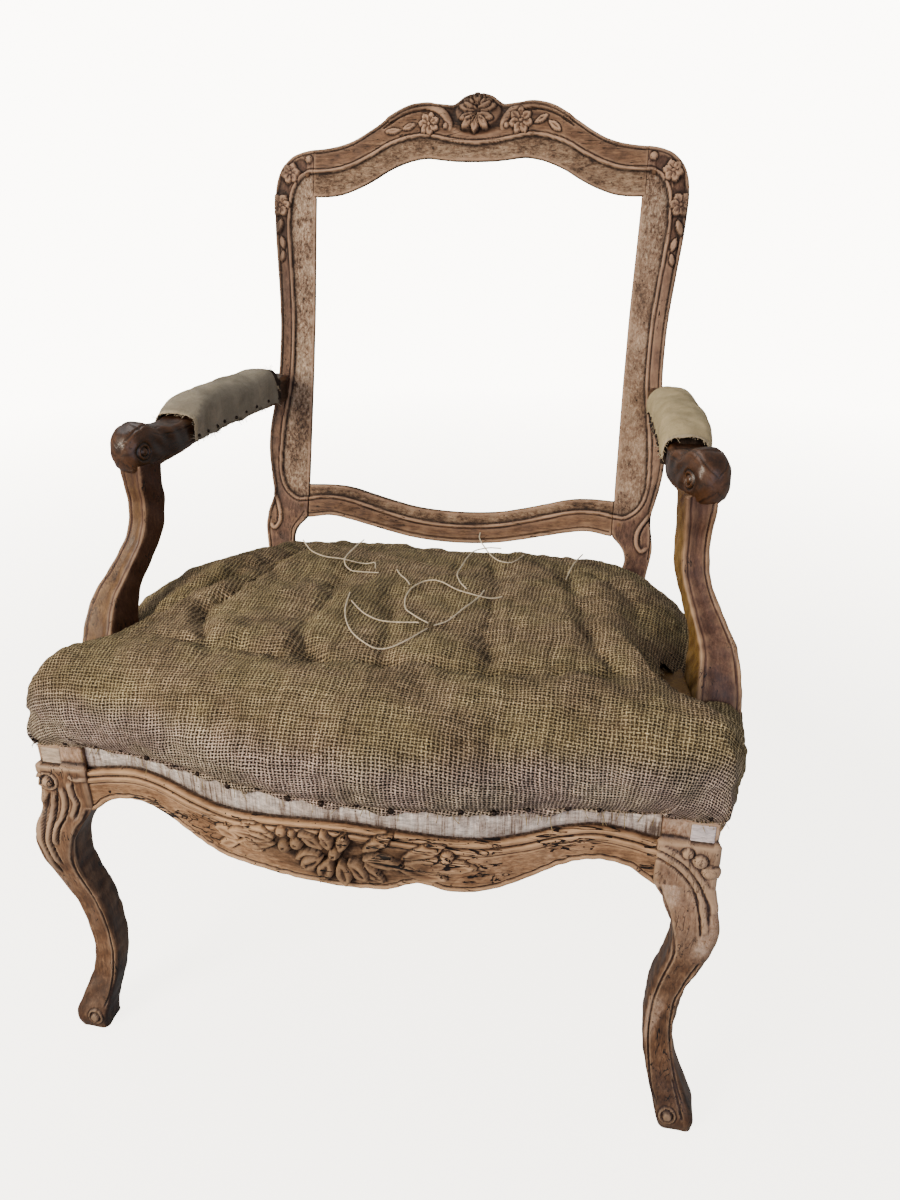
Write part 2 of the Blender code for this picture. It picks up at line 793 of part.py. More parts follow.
def grid_faces(size, start, flipped):
    """Triangles of a square grid of points, all split the same way so that parallel grids stay apart."""
    faces = []
    for i in range(size - 1):
        for j in range(size - 1):
            corner = start + i * size + j
            far = corner + size + 1
            for face in ((corner, corner + size, far), (corner, far, corner + 1)):
                faces.append(tuple(reversed(face)) if flipped else face)
    return faces


def grid_border(size, start):
    """Indices round the edge of a square grid of points."""
    last = size - 1
    border = [start + i * size for i in range(last)]
    border += [start + last * size + j for j in range(last)]
    border += [start + i * size + last for i in range(last, 0, -1)]
    border += [start + j for j in range(last, 0, -1)]
    return border


def seat_scrim():
    """Open-weave scrim over the stuffed seat, as one thin domed shell that is open underneath."""
    outer = seat_grid(0.0)
    inner = seat_grid(SCRIM_THICKNESS)
    size = len(outer)
    points = [point for row in outer for point in row] + [point for row in inner for point in row]
    total = size * size
    faces = grid_faces(size, 0, False) + grid_faces(size, total, True)
    outside, inside = grid_border(size, 0), grid_border(size, total)
    for index, corner in enumerate(outside):
        following = (index + 1) % len(outside)
        faces.append((corner, outside[following], inside[following], inside[index]))
    return solid_from("seat_scrim", points, faces, finish("scrim", SCRIM, 0.95))


def seat_stuffing():
    """Horsehair pad between the base canvas and the scrim."""
    centre = Vector(SEAT_CENTRE)
    size = len(SEAT_STATIONS)
    points = []
    for point in [point for row in seat_grid(0.0) for point in row]:
        inward = centre - point.xy
        plan = point.xy + inward.normalized() * min(STUFFING_INSET, inward.length)
        points.append(Vector((plan.x, plan.y, max(point.z - STUFFING_DROP, STUFFING_BOTTOM))))
    faces = grid_faces(size, 0, False)
    faces.append(tuple(reversed(grid_border(size, 0))))
    return solid_from("seat_stuffing", points, faces, finish("horsehair", HORSEHAIR, 0.95))


def base_canvas():
    """Flat canvas tacked over the webbing."""
    centre = Vector(SEAT_CENTRE)
    rim = []
    for turn in range(4):
        for step in range(CANVAS_STEPS):
            share = 2.0 * step / CANVAS_STEPS - 1.0
            alpha, beta = ((share, -1.0), (1.0, share), (-share, 1.0), (-1.0, -share))[turn]
            point = outline_point(alpha, beta)
            rim.append(point + (centre - point).normalized() * CANVAS_INSET)
    low = CANVAS_BOTTOM
    rings = [[Vector((p.x, p.y, z)) for p in rim] for z in (low, low + CANVAS_THICKNESS)]
    return loft("base_canvas", rings, finish("canvas", CANVAS, 0.95))


def webbing():
    """Four jute straps across the rails and four over them, front to back."""
    jute = finish("jute_web", JUTE_WEB, 0.95)
    half = WEB_WIDTH / 2
    low = RAIL_TOP + GAP
    for index, y in enumerate(CROSS_WEBS):
        (outer,) = read_table(SIDE_RAIL, y)
        end = outer - WEB_END_INSET
        high = (end, y + half, low + WEB_THICKNESS)
        block(f"cross_web_{index + 1}", (-end, y - half, low), high, jute)
    low += WEB_THICKNESS + GAP
    for index, x in enumerate(LONG_WEBS):
        face, _, _ = read_table(FRONT_RAIL, abs(x) + half)
        start = (x - half, face + WEB_FRONT_INSET, low)
        block(f"long_web_{index + 1}", start, (x + half, WEB_REAR_Y, low + WEB_THICKNESS), jute)


def pad_outline(width, height, grow, bottom, inner_grow, ceiling):
    """Section of a pad that sits over the arm like a saddle."""
    outer = width / 2 + PAD_SIDE + grow
    top = height / 2 + PAD_RISE + grow
    inner = width / 2 + inner_grow
    return [
        (-outer, bottom),
        (-outer, 0.008),
        (-outer * 0.80, top - 0.006),
        (-outer * 0.35, top),
        (outer * 0.35, top),
        (outer * 0.80, top - 0.006),
        (outer, 0.008),
        (outer, bottom),
    ], [(inner, bottom), (inner, ceiling), (-inner, ceiling), (-inner, bottom)]


def arm_pad(hand):
    """Horsehair pad and its tacked calico cover on one arm."""
    first, last = PAD_SPANS[hand]
    pad_rings, cover_rings = [], []
    for step in range(PAD_STEPS + 1):
        share = first + (last - first) * step / PAD_STEPS
        _, _, _, width, height = arm_frame(share, hand)
        outer, inner = pad_outline(width, height, 0.0, -0.008, GAP, height / 2 + GAP)
        pad_rings.append(arm_ring(share, outer + inner, hand))
        outer, _ = pad_outline(width, height, GAP + CALICO_THICKNESS, -0.0115, 0.0, 0.0)
        inside, _ = pad_outline(width, height, GAP, -0.0115, 0.0, 0.0)
        cover_rings.append(arm_ring(share, outer + list(reversed(inside)), hand))
    loft(f"{hand}_arm_pad", pad_rings, finish("horsehair", HORSEHAIR, 0.95))
    loft(f"{hand}_arm_calico", cover_rings, finish("calico", CALICO, 0.9))


def twine(name, route, surface):
    """A loose end of stitching twine, laid on the scrim along a smooth curve through its route."""
    fine = []
    for step in range(TWINE_FINENESS * (len(route) - 1) + 1):
        x, y, lift = spline(route, step / TWINE_FINENESS)
        ground = surface.ray_cast(Vector((x, y, 1.0)), Vector((0.0, 0.0, -1.0)))[0]
        fine.append(ground + Vector((0.0, 0.0, TWINE_RADIUS + TWINE_CLEARANCE + max(lift, 0.0))))
    lengths = [0.0]
    for start, end in zip(fine, fine[1:]):
        lengths.append(lengths[-1] + (end - start).length)
    count = max(round(lengths[-1] / TWINE_STEP), 4)
    points = []
    index = 0
    for step in range(count + 1):
        wanted = lengths[-1] * step / count
        while index < len(fine) - 2 and lengths[index + 1] < wanted:
            index += 1
        share = (wanted - lengths[index]) / (lengths[index + 1] - lengths[index])
        points.append(fine[index].lerp(fine[index + 1], min(share, 1.0)))
    curve = bpy.data.curves.new(name, "CURVE")
    curve.dimensions = "3D"
    curve.bevel_depth = TWINE_RADIUS
    curve.bevel_resolution = 2
    curve.use_fill_caps = True
    curve.render_resolution_u = 0
    strand = curve.splines.new("POLY")
    strand.points.add(len(points) - 1)
    for knot, point in zip(strand.points, points):
        knot.co = (*point, 1.0)
    return add_object(name, curve, finish("twine", TWINE, 0.8))


def patch(hand, leg):
    """Pale piece of new wood let into the front corner of a leg block."""
    low, high = mirror_span(PATCH_LOW, PATCH_HIGH, side_of(hand))
    block(f"{hand}_corner_patch", low, high, finish("pale_wood", PALE_WOOD, 0.8))
    clear = Vector((GAP, GAP, GAP))
    mouth = Vector((0.0, PEG_MOUTH, 0.0))
    pocket = box(f"{hand}_corner_pocket", Vector(low) - clear - mouth, Vector(high) + clear)
    boolean(leg, pocket, "DIFFERENCE")


def fit_tenons(side, hand, wood):
    """Tenons of the seat frame, the back and the arm on one side."""
    leg, post = wood[f"{hand}_front_leg"], wood[f"{hand}_back_post"]
    rail, support, arm_piece = wood[f"{hand}_side_rail"], wood[f"{hand}_arm_support"], wood[f"{hand}_arm"]
    front, rear = wood["front_seat_rail"], wood["rear_seat_rail"]
    crest, lower = wood["crest_rail"], wood["lower_back_rail"]
    low_z, high_z = SEAT_TENON_HEIGHTS
    front_end, rear_end, rail_end = LEG_JOINT_X - GAP, POST_INNER_X - GAP, LEG_BACK_Y + GAP
    rail_rear, crest_end, lower_end = POST_FRONT_Y - GAP, CREST[-1][0], LOWER_RAIL[-1][0]
    foot = RAIL_TOP + GAP
    joints = (
        ("front", front, leg, (front_end, -0.246, low_z), (front_end + 0.019, -0.237, high_z), 1),
        ("side_front", rail, leg, (0.288, rail_end - 0.019, low_z), (0.296, rail_end, high_z), -2),
        ("side_rear", rail, post, (0.2245, rail_rear, low_z), (0.2335, rail_rear + 0.0123, high_z), 2),
        ("rear", rear, post, (rear_end, 0.1925, low_z), (rear_end + 0.017, 0.2015, high_z), 1),
        ("crest", crest, post, (crest_end, 0.341, 0.830), (crest_end + 0.0173, 0.350, 0.854), 1),
        ("lower", lower, post, (lower_end, 0.2135, 0.434), (lower_end + 0.0188, 0.2225, 0.456), 1),
        ("support_foot", support, rail, (0.304, -0.140, foot - 0.0173), (0.315, -0.116, foot), -3),
        ("support_head", support, arm_piece, (0.266, -0.0805, SUPPORT_TOP), (0.280, -0.0655, 0.571), 3),
    )
    for name, tenoned, mortised, low, high, axis in joints:
        turned = axis * int(side) if abs(axis) == 1 else axis
        tenon(f"{hand}_{name}", tenoned, mortised, *mirror_span(low, high, side), turned)


def fit_pegs(side, hand, wood):
    """Pegs of the joints on one side."""
    leg, post, arm_piece = wood[f"{hand}_front_leg"], wood[f"{hand}_back_post"], wood[f"{hand}_arm"]
    front, rail = wood["front_seat_rail"], wood[f"{hand}_side_rail"]
    arm_peg_y = back_y(ARM_PEG_Z) + ARM_PEG_DEPTH
    pegs = [("arm_peg", (0.2625, arm_peg_y, ARM_PEG_Z), (0.226, arm_peg_y, ARM_PEG_Z), (arm_piece, post))]
    for index, z in enumerate(SEAT_PEG_HEIGHTS):
        pegs.append((f"front_peg_{index + 1}", (0.272, LEG_FRONT_Y, z), (0.272, -0.228, z), (leg, front)))
        pegs.append((f"side_peg_{index + 1}", (LEG_OUTER_X, -0.2245, z), (0.280, -0.2245, z), (leg, rail)))
    for name, (x, z), rail_piece in (
        ("crest_peg", CREST_PEG, wood["crest_rail"]),
        ("lower_peg", LOWER_PEG, wood["lower_back_rail"]),
    ):
        pegs.append((name, (x, back_y(z), z), (x, back_y(z) + BACK_PEG_LENGTH, z), (post, rail_piece)))
    for name, start, end, through in pegs:
        ends = [(side * point[0], point[1], point[2]) for point in (start, end)]
        peg(f"{hand}_{name}", *ends, through)


def lap_arm(hand, arm_piece):
    """Cuts the arm's end to lap two sides of the post, and its scroll flat over the support."""
    side = side_of(hand)
    edges = [row[:3] for row in POST]
    rings = []
    for z in ARM_LAP_HEIGHTS:
        _, outer = read_table(edges, z)
        front = back_y(z) - GAP
        corners = rectangle((ARM_LAP_INNER_X, front), (outer + GAP, front + ARM_LAP_REACH))
        rings.append(mirrored([(x, y, z) for x, y in corners], side))
    cutter = cutter_from(loft(f"{hand}_arm_lap", rings, helper_finish()))
    boolean(arm_piece, cutter, "DIFFERENCE")
    low, high = mirror_span(ARM_SEAT_LOW, ARM_SEAT_HIGH, side)
    boolean(arm_piece, box(f"{hand}_arm_seat", low, high), "DIFFERENCE")


def main():
    """Builds the chair in an empty scene."""
    for old in list(bpy.data.objects):
        bpy.data.objects.remove(old)
    wood = {}
    for hand in ("left", "right"):
        for made in (back_post(hand), side_rail(hand), front_leg(hand), arm(hand), arm_support(hand)):
            wood[made.name] = made
    for made in (
        rail_between_posts("crest_rail", CREST, 0.0, BACK_THICKNESS),
        rail_between_posts("lower_back_rail", LOWER_RAIL, 0.002, 0.026),
        front_rail(),
        rear_rail(),
    ):
        wood[made.name] = made
    scrim, stuffing, canvas = seat_scrim(), seat_stuffing(), base_canvas()
    webbing()
    for hand in ("left", "right"):
        side = side_of(hand)
        lap_arm(hand, wood[f"{hand}_arm"])
        notch_rings = support_rings(side, NOTCH_CLEARANCE, RAIL_TOP - NOTCH_DEPTH)
        notch = cutter_from(loft(f"{hand}_notch", notch_rings, helper_finish()))
        for soft in (scrim, stuffing, canvas):
            boolean(soft, notch, "DIFFERENCE")
        fit_tenons(side, hand, wood)
        fit_pegs(side, hand, wood)
        arm_pad(hand)
        patch(hand, wood[f"{hand}_front_leg"])
    top = [point for row in seat_grid(0.0) for point in row]
    surface = BVHTree.FromPolygons(top, grid_faces(len(SEAT_STATIONS), 0, False))
    for name, route in TWINES.items():
        twine(name, route, surface)
    for made in bpy.data.objects:
        made.location.y -= FOOTPRINT_Y


main()
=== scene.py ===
"""Old open armchair with a carved cabriole frame, stripped down to its seat stuffing for reupholstery.

Metres, +Z up. The tables give y from the middle of the seat frame, and every finished mesh is moved forward
by FOOTPRINT_Y, which brings it into the frame of the CAD.
"""

import sys
import logging
import math
from collections.abc import Callable
from dataclasses import dataclass, field, replace
from enum import Enum

import bpy
import numpy as np
from mathutils import Matrix, Vector
from mathutils.bvhtree import BVHTree


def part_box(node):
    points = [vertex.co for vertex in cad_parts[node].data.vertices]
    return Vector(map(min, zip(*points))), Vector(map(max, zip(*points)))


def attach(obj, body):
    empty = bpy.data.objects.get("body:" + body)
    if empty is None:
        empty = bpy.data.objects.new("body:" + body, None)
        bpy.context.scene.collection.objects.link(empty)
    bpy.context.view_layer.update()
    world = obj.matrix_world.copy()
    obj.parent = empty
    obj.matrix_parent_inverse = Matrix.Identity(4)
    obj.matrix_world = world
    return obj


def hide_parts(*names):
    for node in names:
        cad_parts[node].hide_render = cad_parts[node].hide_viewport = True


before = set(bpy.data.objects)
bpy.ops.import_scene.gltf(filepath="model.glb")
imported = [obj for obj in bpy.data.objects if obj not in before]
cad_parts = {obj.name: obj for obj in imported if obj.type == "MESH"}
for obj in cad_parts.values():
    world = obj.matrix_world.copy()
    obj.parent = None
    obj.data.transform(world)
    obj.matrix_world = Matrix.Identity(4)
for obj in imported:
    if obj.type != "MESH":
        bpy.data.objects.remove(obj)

Array = np.ndarray
Table = tuple[tuple[float, ...], ...]
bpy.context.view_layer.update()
FOOTPRINT_Y = 0.0397  # from the middle of the seat frame back to the middle of the overall depth
GAP = 0.0003
RAIL_TOP = 0.352
X_WAY, Y_WAY, Z_WAY = np.eye(3)
FLOATS = ("grime_and_shade", "worn", "zone")  # soiling and painted shade in recesses and on faces turned from the light, bare arrises, and a second kind of surface, which is painted light on the arm supports' lit faces and partly on the seat's front roll
log = logging.getLogger("armchair")


class Hand(Enum):
    """The chair's own left and right as one faces it, with the sign of x."""

    LEFT = -1
    RIGHT = 1

    @property
    def word(self) -> str:
        """The hand as the nodes' names have it."""
        return self.name.lower()


# ---------------------------------------------------------------- numbers


def held(value: Array) -> Array:
    """Numbers kept between 0 and 1."""
    return np.clip(value, 0.0, 1.0)


def directions(rows: Array) -> Array:
    """The rows scaled to unit length."""
    return rows / np.maximum(np.linalg.norm(rows, axis=-1, keepdims=True), 1e-9)


def ease(value: Array, begin: float, end: float) -> Array:
    """0 before begin, 1 after end and eased between them.

    Args:
        value: Numbers to ease.
        begin: Where the rise begins.
        end: Where it ends.

    Returns:
        Shares from 0 to 1.
    """
    turn = held((np.asarray(value, float) - begin) / (end - begin))
    return turn * turn * (3.0 - 2.0 * turn)


def along(rows: Array, position: Array) -> Array:
    """Hermite values at positions counted in rows.

    Args:
        rows: Numbers to pass through, one row per step.
        position: Where to read them.

    Returns:
        One row of numbers for each position.
    """
    last = len(rows) - 1
    index = np.clip(np.floor(position).astype(int), 0, last - 1)
    t = held(position - index)[:, None]
    a, b = rows[np.maximum(index - 1, 0)], rows[index]
    c, d = rows[index + 1], rows[np.minimum(index + 2, last)]
    rise = (2 * t**3 - 3 * t**2 + 1) * b + (t**3 - 2 * t**2 + t) * (c - a) / 2
    return rise + (3 * t**2 - 2 * t**3) * c + (t**3 - t**2) * (d - b) / 2


def read(table: Table, key: Array) -> Array:
    """Rows of a table at keys between its first-column values.

    Args:
        table: Rows that each begin with their key.
        key: Keys to read at.

    Returns:
        The other columns, one row for each key.
    """
    rows = np.array(table, float)
    key = np.atleast_1d(np.asarray(key, float))
    index = np.clip(np.searchsorted(rows[:, 0], key) - 1, 0, len(rows) - 2)
    low, high = rows[index, 0], rows[index + 1, 0]
    return along(rows[:, 1:], index + held((key - low) / (high - low)))


def spaced(start: float, end: float, step: float) -> Array:
    """Even stations about one step apart, both ends among them."""
    return np.linspace(start, end, max(int(round(abs(end - start) / step)), 1) + 1)


def ripple(places: Array, period: float, seed: int) -> Array:
    """Smooth unevenness of about unit height.

    Args:
        places: Points of two or three coordinates.
        period: Usual distance from crest to crest, in metres.
        seed: Which of the many such surfaces.

    Returns:
        One number for each point.
    """
    draw = np.random.default_rng(seed)
    waves = 10
    heading = directions(draw.normal(size=(waves, places.shape[-1])))
    pitch = 2 * math.pi / period * draw.uniform(0.6, 1.7, waves)
    phase = draw.uniform(0, 2 * math.pi, waves)
    total = np.zeros(places.shape[:-1])
    for wave in range(waves):
        total += np.sin(places @ heading[wave] * pitch[wave] + phase[wave])
    return total / math.sqrt(waves)


def soften(grid: Array, rounds: int) -> Array:
    """Averages a grid of numbers with its neighbours.

    Args:
        grid: Rows and columns of numbers.
        rounds: How many times.

    Returns:
        The softened grid.
    """
    for _ in range(rounds):
        wide = np.pad(grid, 1, mode="edge")
        grid = (wide[:-2, 1:-1] + wide[2:, 1:-1] + wide[1:-1, :-2] + wide[1:-1, 2:] + 4 * grid) / 8
    return grid


def path_distance(x: Array, z: Array, path: Array) -> tuple[Array, Array]:
    """Distance to a line of points, and how far along it the nearest place is.

    Args:
        x: First coordinates.
        z: Second coordinates.
        path: Corner points of the line, two columns.

    Returns:
        Distances, and shares of the line's length from 0 to 1.
    """
    path = np.asarray(path, float)
    best = np.full(x.shape, 1e9)
    share = np.zeros(x.shape)
    steps, reached = np.linalg.norm(np.diff(path, axis=0), axis=1), walked(path)
    for index, (start, end) in enumerate(zip(path[:-1], path[1:])):
        dx, dz = end - start
        t = held(((x - start[0]) * dx + (z - start[1]) * dz) / max(dx * dx + dz * dz, 1e-12))
        gap = np.hypot(x - start[0] - t * dx, z - start[1] - t * dz)
        closer = gap < best
        best = np.where(closer, gap, best)
        share = np.where(closer, (reached[index] + t * steps[index]) / reached[-1], share)
    return best, share


def square(size: int) -> tuple[Array, ...]:
    """Both coordinates of an even grid over the square from -1 to 1."""
    line = np.linspace(-1.0, 1.0, size)
    return tuple(grid.ravel() for grid in np.meshgrid(line, line, indexing="ij"))


def walked(points: Array) -> Array:
    """Length reached at each point of a line."""
    return np.concatenate([[0.0], np.cumsum(np.linalg.norm(np.diff(points, axis=0), axis=1))])


def resample(rows: Array, reached: Array, wanted: Array) -> Array:
    """The rows read straight at the wanted places, where reached says how far along each row lies."""
    return np.stack([np.interp(wanted, reached, column) for column in rows.T], -1)


def rounded_path(points: list[tuple[float, float]], step: float = 0.002) -> Array:
    """A smooth line through points, with corners about one step apart."""
    rows = np.array(points, float)
    length = np.linalg.norm(np.diff(rows, axis=0), axis=1).sum()
    return along(rows, np.linspace(0, len(rows) - 1, max(int(length / step), 2 * len(rows))))


def inside(x: Array, z: Array, loop: Array) -> Array:
    """True for the points inside a closed line."""
    found = np.zeros(x.shape, bool)
    for (x0, z0), (x1, z1) in zip(loop, np.roll(loop, -1, axis=0)):
        if abs(z1 - z0) > 1e-12:
            crossing = (z0 > z) != (z1 > z)
            found ^= crossing & (x < (x1 - x0) * (z - z0) / (z1 - z0) + x0)
    return found


def rounding(distance: Array, radius: float) -> Array:
    """Drop of a rounded arris at a distance in from the edge."""
    left = np.clip(radius - distance, 0.0, radius)
    return radius - np.sqrt(radius**2 - left**2)


def dome(distance: Array, half: float) -> Array:
    """1 at the middle of a bead and 0 at its edges, as a round section."""
    return np.sqrt(held(1.0 - (distance / half) ** 2))


# ---------------------------------------------------------------- carving


@dataclass
class Carver:
    """Gathers carving, stroke by stroke, as heights over a face.

    Args:
        x: First coordinate of each place on the face.
        z: Second coordinate.
        height: Height of the ground before carving.
    """

    x: Array
    z: Array
    height: Array

    def near(self, x: float, z: float, reach: float) -> tuple[Array, ...]:
        """Places within reach of a point, as an index."""
        return np.nonzero((np.abs(self.x - x) < reach) & (np.abs(self.z - z) < reach))

    def petal(
        self, x: float, z: float, turn: float, length: float, width: float, rise: float, lobes: int = 0,
        cup: float = 0.35, keep: float = 0.35
    ) -> None:
        """A petal or leaf with a sunken outline.

        Args:
            x: Where its foot is.
            z: Where its foot is.
            turn: Direction of its tip, in degrees from +x towards +z.
            length: From foot to tip.
            width: At its widest.
            rise: Height over the ground.
            lobes: Notches along each edge.
            cup: How deep its middle vein is, as a share of the rise.
            keep: How much of the form under it still shows.
        """
        spot = self.near(x, z, length + 0.004)
        dx, dz = self.x[spot] - x, self.z[spot] - z
        c, s = math.cos(math.radians(turn)), math.sin(math.radians(turn))
        run, side = dx * c + dz * s, np.abs(dz * c - dx * s)
        share = held(run / length)
        half = 0.5 * width * np.sin(math.pi * share**1.15) ** 0.8
        if lobes:
            half = half * (1.0 - 0.3 * np.abs(np.sin(math.pi * lobes * share)) ** 0.6 * share)
        gap = np.where((run < 0) | (run > length), np.maximum(-run, run - length) + side, side - half)
        ground = self.height[spot]
        moat = held(1.0 - gap / 0.002) * (gap > 0)
        ground = ground - 0.42 * rise * moat
        body = np.sqrt(held(1.0 - (side / np.maximum(half, 1e-5)) ** 2))
        vein = cup * np.exp(-((side / (0.16 * width)) ** 2)) * np.sin(math.pi * share)
        top = rise * (0.45 + 0.55 * body - vein) * (0.82 + 0.18 * share)
        self.height[spot] = np.where(gap < 0, np.maximum(ground, 0.0) * keep + top, ground)

    def flower(self, x: float, z: float, reach: float, petals: int, rise: float, turn: float = 90.0) -> None:
        """A small open flower with a button in its middle.

        Args:
            x: Its centre.
            z: Its centre.
            reach: From the centre to a petal's tip.
            petals: How many.
            rise: Height over the ground.
            turn: Direction of the first petal, in degrees.
        """
        width = 1.75 * reach * math.sin(math.pi / petals)
        for index in range(petals):
            angle = turn + 360.0 * index / petals
            c, s = math.cos(math.radians(angle)), math.sin(math.radians(angle))
            foot = 0.1 * reach
            self.petal(x + foot * c, z + foot * s, angle, reach * 0.9, width * 0.86, rise, cup=0.3)
        self.knob(x, z, 0.17 * reach, rise * 0.75)

    def knob(self, x: float, z: float, radius: float, rise: float, hole: float = 0.0) -> None:
        """A round boss, drilled in its middle where hole gives a radius."""
        spot = self.near(x, z, radius + 0.003)
        gap = np.hypot(self.x[spot] - x, self.z[spot] - z)
        ground = self.height[spot] - 0.3 * rise * held(1 - (gap - radius) / 0.0018) * (gap > radius)
        top = rise * dome(gap, radius)
        top = np.where(gap < hole, top - 0.8 * rise * dome(gap, max(hole, 1e-5)), top)
        self.height[spot] = np.where(gap < radius, np.maximum(ground, 0.0) * 0.5 + top, ground)

    def ring(self, x: float, z: float, radius: float, half: float, rise: float) -> None:
        """A bead or groove round a point."""
        turn = np.linspace(0, 6.29, 24)
        self.ridge(radius * np.stack([np.cos(turn), np.sin(turn)], -1) + (x, z), half, rise)

    def ridge(self, path: Array | list, half: float, rise: float, taper: float = 0.0) -> None:
        """A bead along a line, or a groove where rise is negative.

        Args:
            path: Corner points of the line, which is rounded where they come as a list.
            half: Half its width.
            rise: Its height.
            taper: Share of the length over which each end fades.
        """
        path = rounded_path(path) if isinstance(path, list) else path
        low, high = path.min(0) - 2 * half, path.max(0) + 2 * half
        spot = np.nonzero((self.x > low[0]) & (self.x < high[0]) & (self.z > low[1]) & (self.z < high[1]))
        gap, share = path_distance(self.x[spot], self.z[spot], path)
        fade = 1.0
        if taper:
            fade = ease(share, 0.0, taper) * ease(1.0 - share, 0.0, taper)
        self.height[spot] += rise * fade * dome(gap, half)


def shading(height: Array, fine: int = 10, broad: int = 60) -> dict[str, Array]:
    """Marks of sunken and proud places on a face: soiling and painted shade in the sunken ones, rubbed wear
    on the proud ones.

    Args:
        height: Grid of heights.
        fine: Softening rounds for small detail.
        broad: Softening rounds for large forms.

    Returns:
        The mark of soiling and painted shade, and the mark worn, from 0 to 1.
    """
    near = soften(height, fine)
    far = soften(near, broad)
    sunk = held((near - height) / 0.0007) + held((far - height) / 0.003)
    proud = held((height - near) / 0.0006) + np.clip((height - far) / 0.004, 0, 0.6)
    return {"grime_and_shade": held(sunk), "worn": held(proud)}


def deepen(marks: dict[str, Array], key: str, more: Array, most: float = 1.0) -> None:
    """Adds to a mark and keeps it between 0 and the most."""
    marks[key] = np.clip(marks[key] + more, 0, most)


def widened(marks: dict[str, Array], extra: int, grime_and_shade: float) -> dict[str, Array]:
    """The marks with further columns for the faces behind, which are darkened by the given share."""
    return {
        key: np.concatenate([value, np.full((len(value), extra), grime_and_shade * (key == "grime_and_shade"))], 1)
        for key, value in marks.items()
    }


# ---------------------------------------------------------------- meshes


@dataclass
class Shell:
    """Points, faces and marks of one piece while it is made."""

    name: str
    points: list[Array] = field(default_factory=list)
    faces: list[tuple[int, ...]] = field(default_factory=list)
    marks: dict[str, list[Array]] = field(default_factory=dict)
    count: int = 0

    def add(self, points: Array, faces: list, marks: dict[str, Array] | None = None) -> None:
        """Adds loose geometry.

        Args:
            points: Three columns.
            faces: Corner indices that count from these points.
            marks: Numbers for each point, and the cloth's own coordinates.
        """
        points = np.asarray(points, float).reshape(-1, 3)
        for key in (*FLOATS, "cloth"):
            blank = np.zeros((len(points), 3)) if key == "cloth" else np.zeros(len(points))
            given = (marks or {}).get(key)
            self.marks.setdefault(key, []).append(blank if given is None else given.reshape(blank.shape))
        start = self.count
        self.faces.extend(tuple(start + corner for corner in face) for face in faces)
        self.points.append(points)
        self.count += len(points)

    def grid(
        self, points: Array, marks: dict[str, Array] | None = None, closed: bool = False,
        capped: bool = False, keep: Array | None = None
    ) -> None:
        """Adds a grid of points.

        Args:
            points: Rows, columns and three coordinates.
            marks: Numbers for each point.
            closed: Whether the last column joins the first.
            capped: Whether a fan closes the first and the last row.
            keep: For each face, whether it is there.
        """
        rows, columns = points.shape[:2]
        i = np.arange(rows - 1)[:, None] * columns
        j = np.arange(columns if closed else columns - 1)[None, :]
        k = (j + 1) % columns
        faces = np.stack([i + j, i + k, i + columns + k, i + columns + j], -1)
        if keep is not None:
            faces = faces[keep]
        faces = faces.reshape(-1, 4).tolist()
        flat = points.reshape(-1, 3)
        numbers = {key: value.reshape(len(flat), -1) for key, value in (marks or {}).items()}
        if capped:
            middle = len(flat)
            flat = np.concatenate([flat, points[0].mean(0)[None], points[-1].mean(0)[None]])
            for key, value in numbers.items():
                numbers[key] = np.concatenate([value, value[:1], value[-1:]])
            last = (rows - 1) * columns
            for column in range(columns):
                following = (column + 1) % columns
                faces.append((following, column, middle))
                faces.append((last + column, last + following, middle + 1))
        self.add(flat, faces, numbers)

    def solid(self, points: Array, marks: dict[str, Array] | None = None) -> None:
        """Adds a tube of points, a row to a section, with both ends capped."""
        self.grid(points, marks, closed=True, capped=True)

    def piece(self, finish: bpy.types.Material, replaced: list[str]) -> bpy.types.Object:
        """Makes the object, in the frame of the CAD, riding on the chair, with its faces looking outwards.

        Args:
            finish: Its material.
            replaced: The CAD nodes that it stands for.

        Returns:
            The new object.
        """
        points = np.concatenate(self.points)
        points[:, 1] -= FOOTPRINT_Y
        corners = np.array([face[:3] for face in self.faces])
        a, b, c = (points[corners[:, index]] - points.mean(0) for index in range(3))
        mesh = bpy.data.meshes.new(self.name)
        faces = [face[::-1] for face in self.faces] if np.sum(a * np.cross(b, c)) < 0 else self.faces
        mesh.from_pydata(points.tolist(), [], faces)
        for key, parts in self.marks.items():
            values = np.concatenate(parts).astype(np.float32)
            kind, place = ("FLOAT_VECTOR", "vector") if key == "cloth" else ("FLOAT", "value")
            mesh.attributes.new(key, kind, "POINT").data.foreach_set(place, values.ravel())
        mesh.shade_smooth()
        mesh.materials.append(finish)
        made = bpy.data.objects.new(self.name, mesh)
        show(made)
        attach(made, "root")
        if replaced:
            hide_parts(*replaced)
            corners = [np.array(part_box(node)) for node in replaced]
            low = points.min(0) - np.min([pair[0] for pair in corners], 0)
            high = points.max(0) - np.max([pair[1] for pair in corners], 0)
            log.info(
                "%s: %d faces, %s %s mm", self.name, len(faces),
                *(np.round(1000 * low), np.round(1000 * high))
            )
        return made


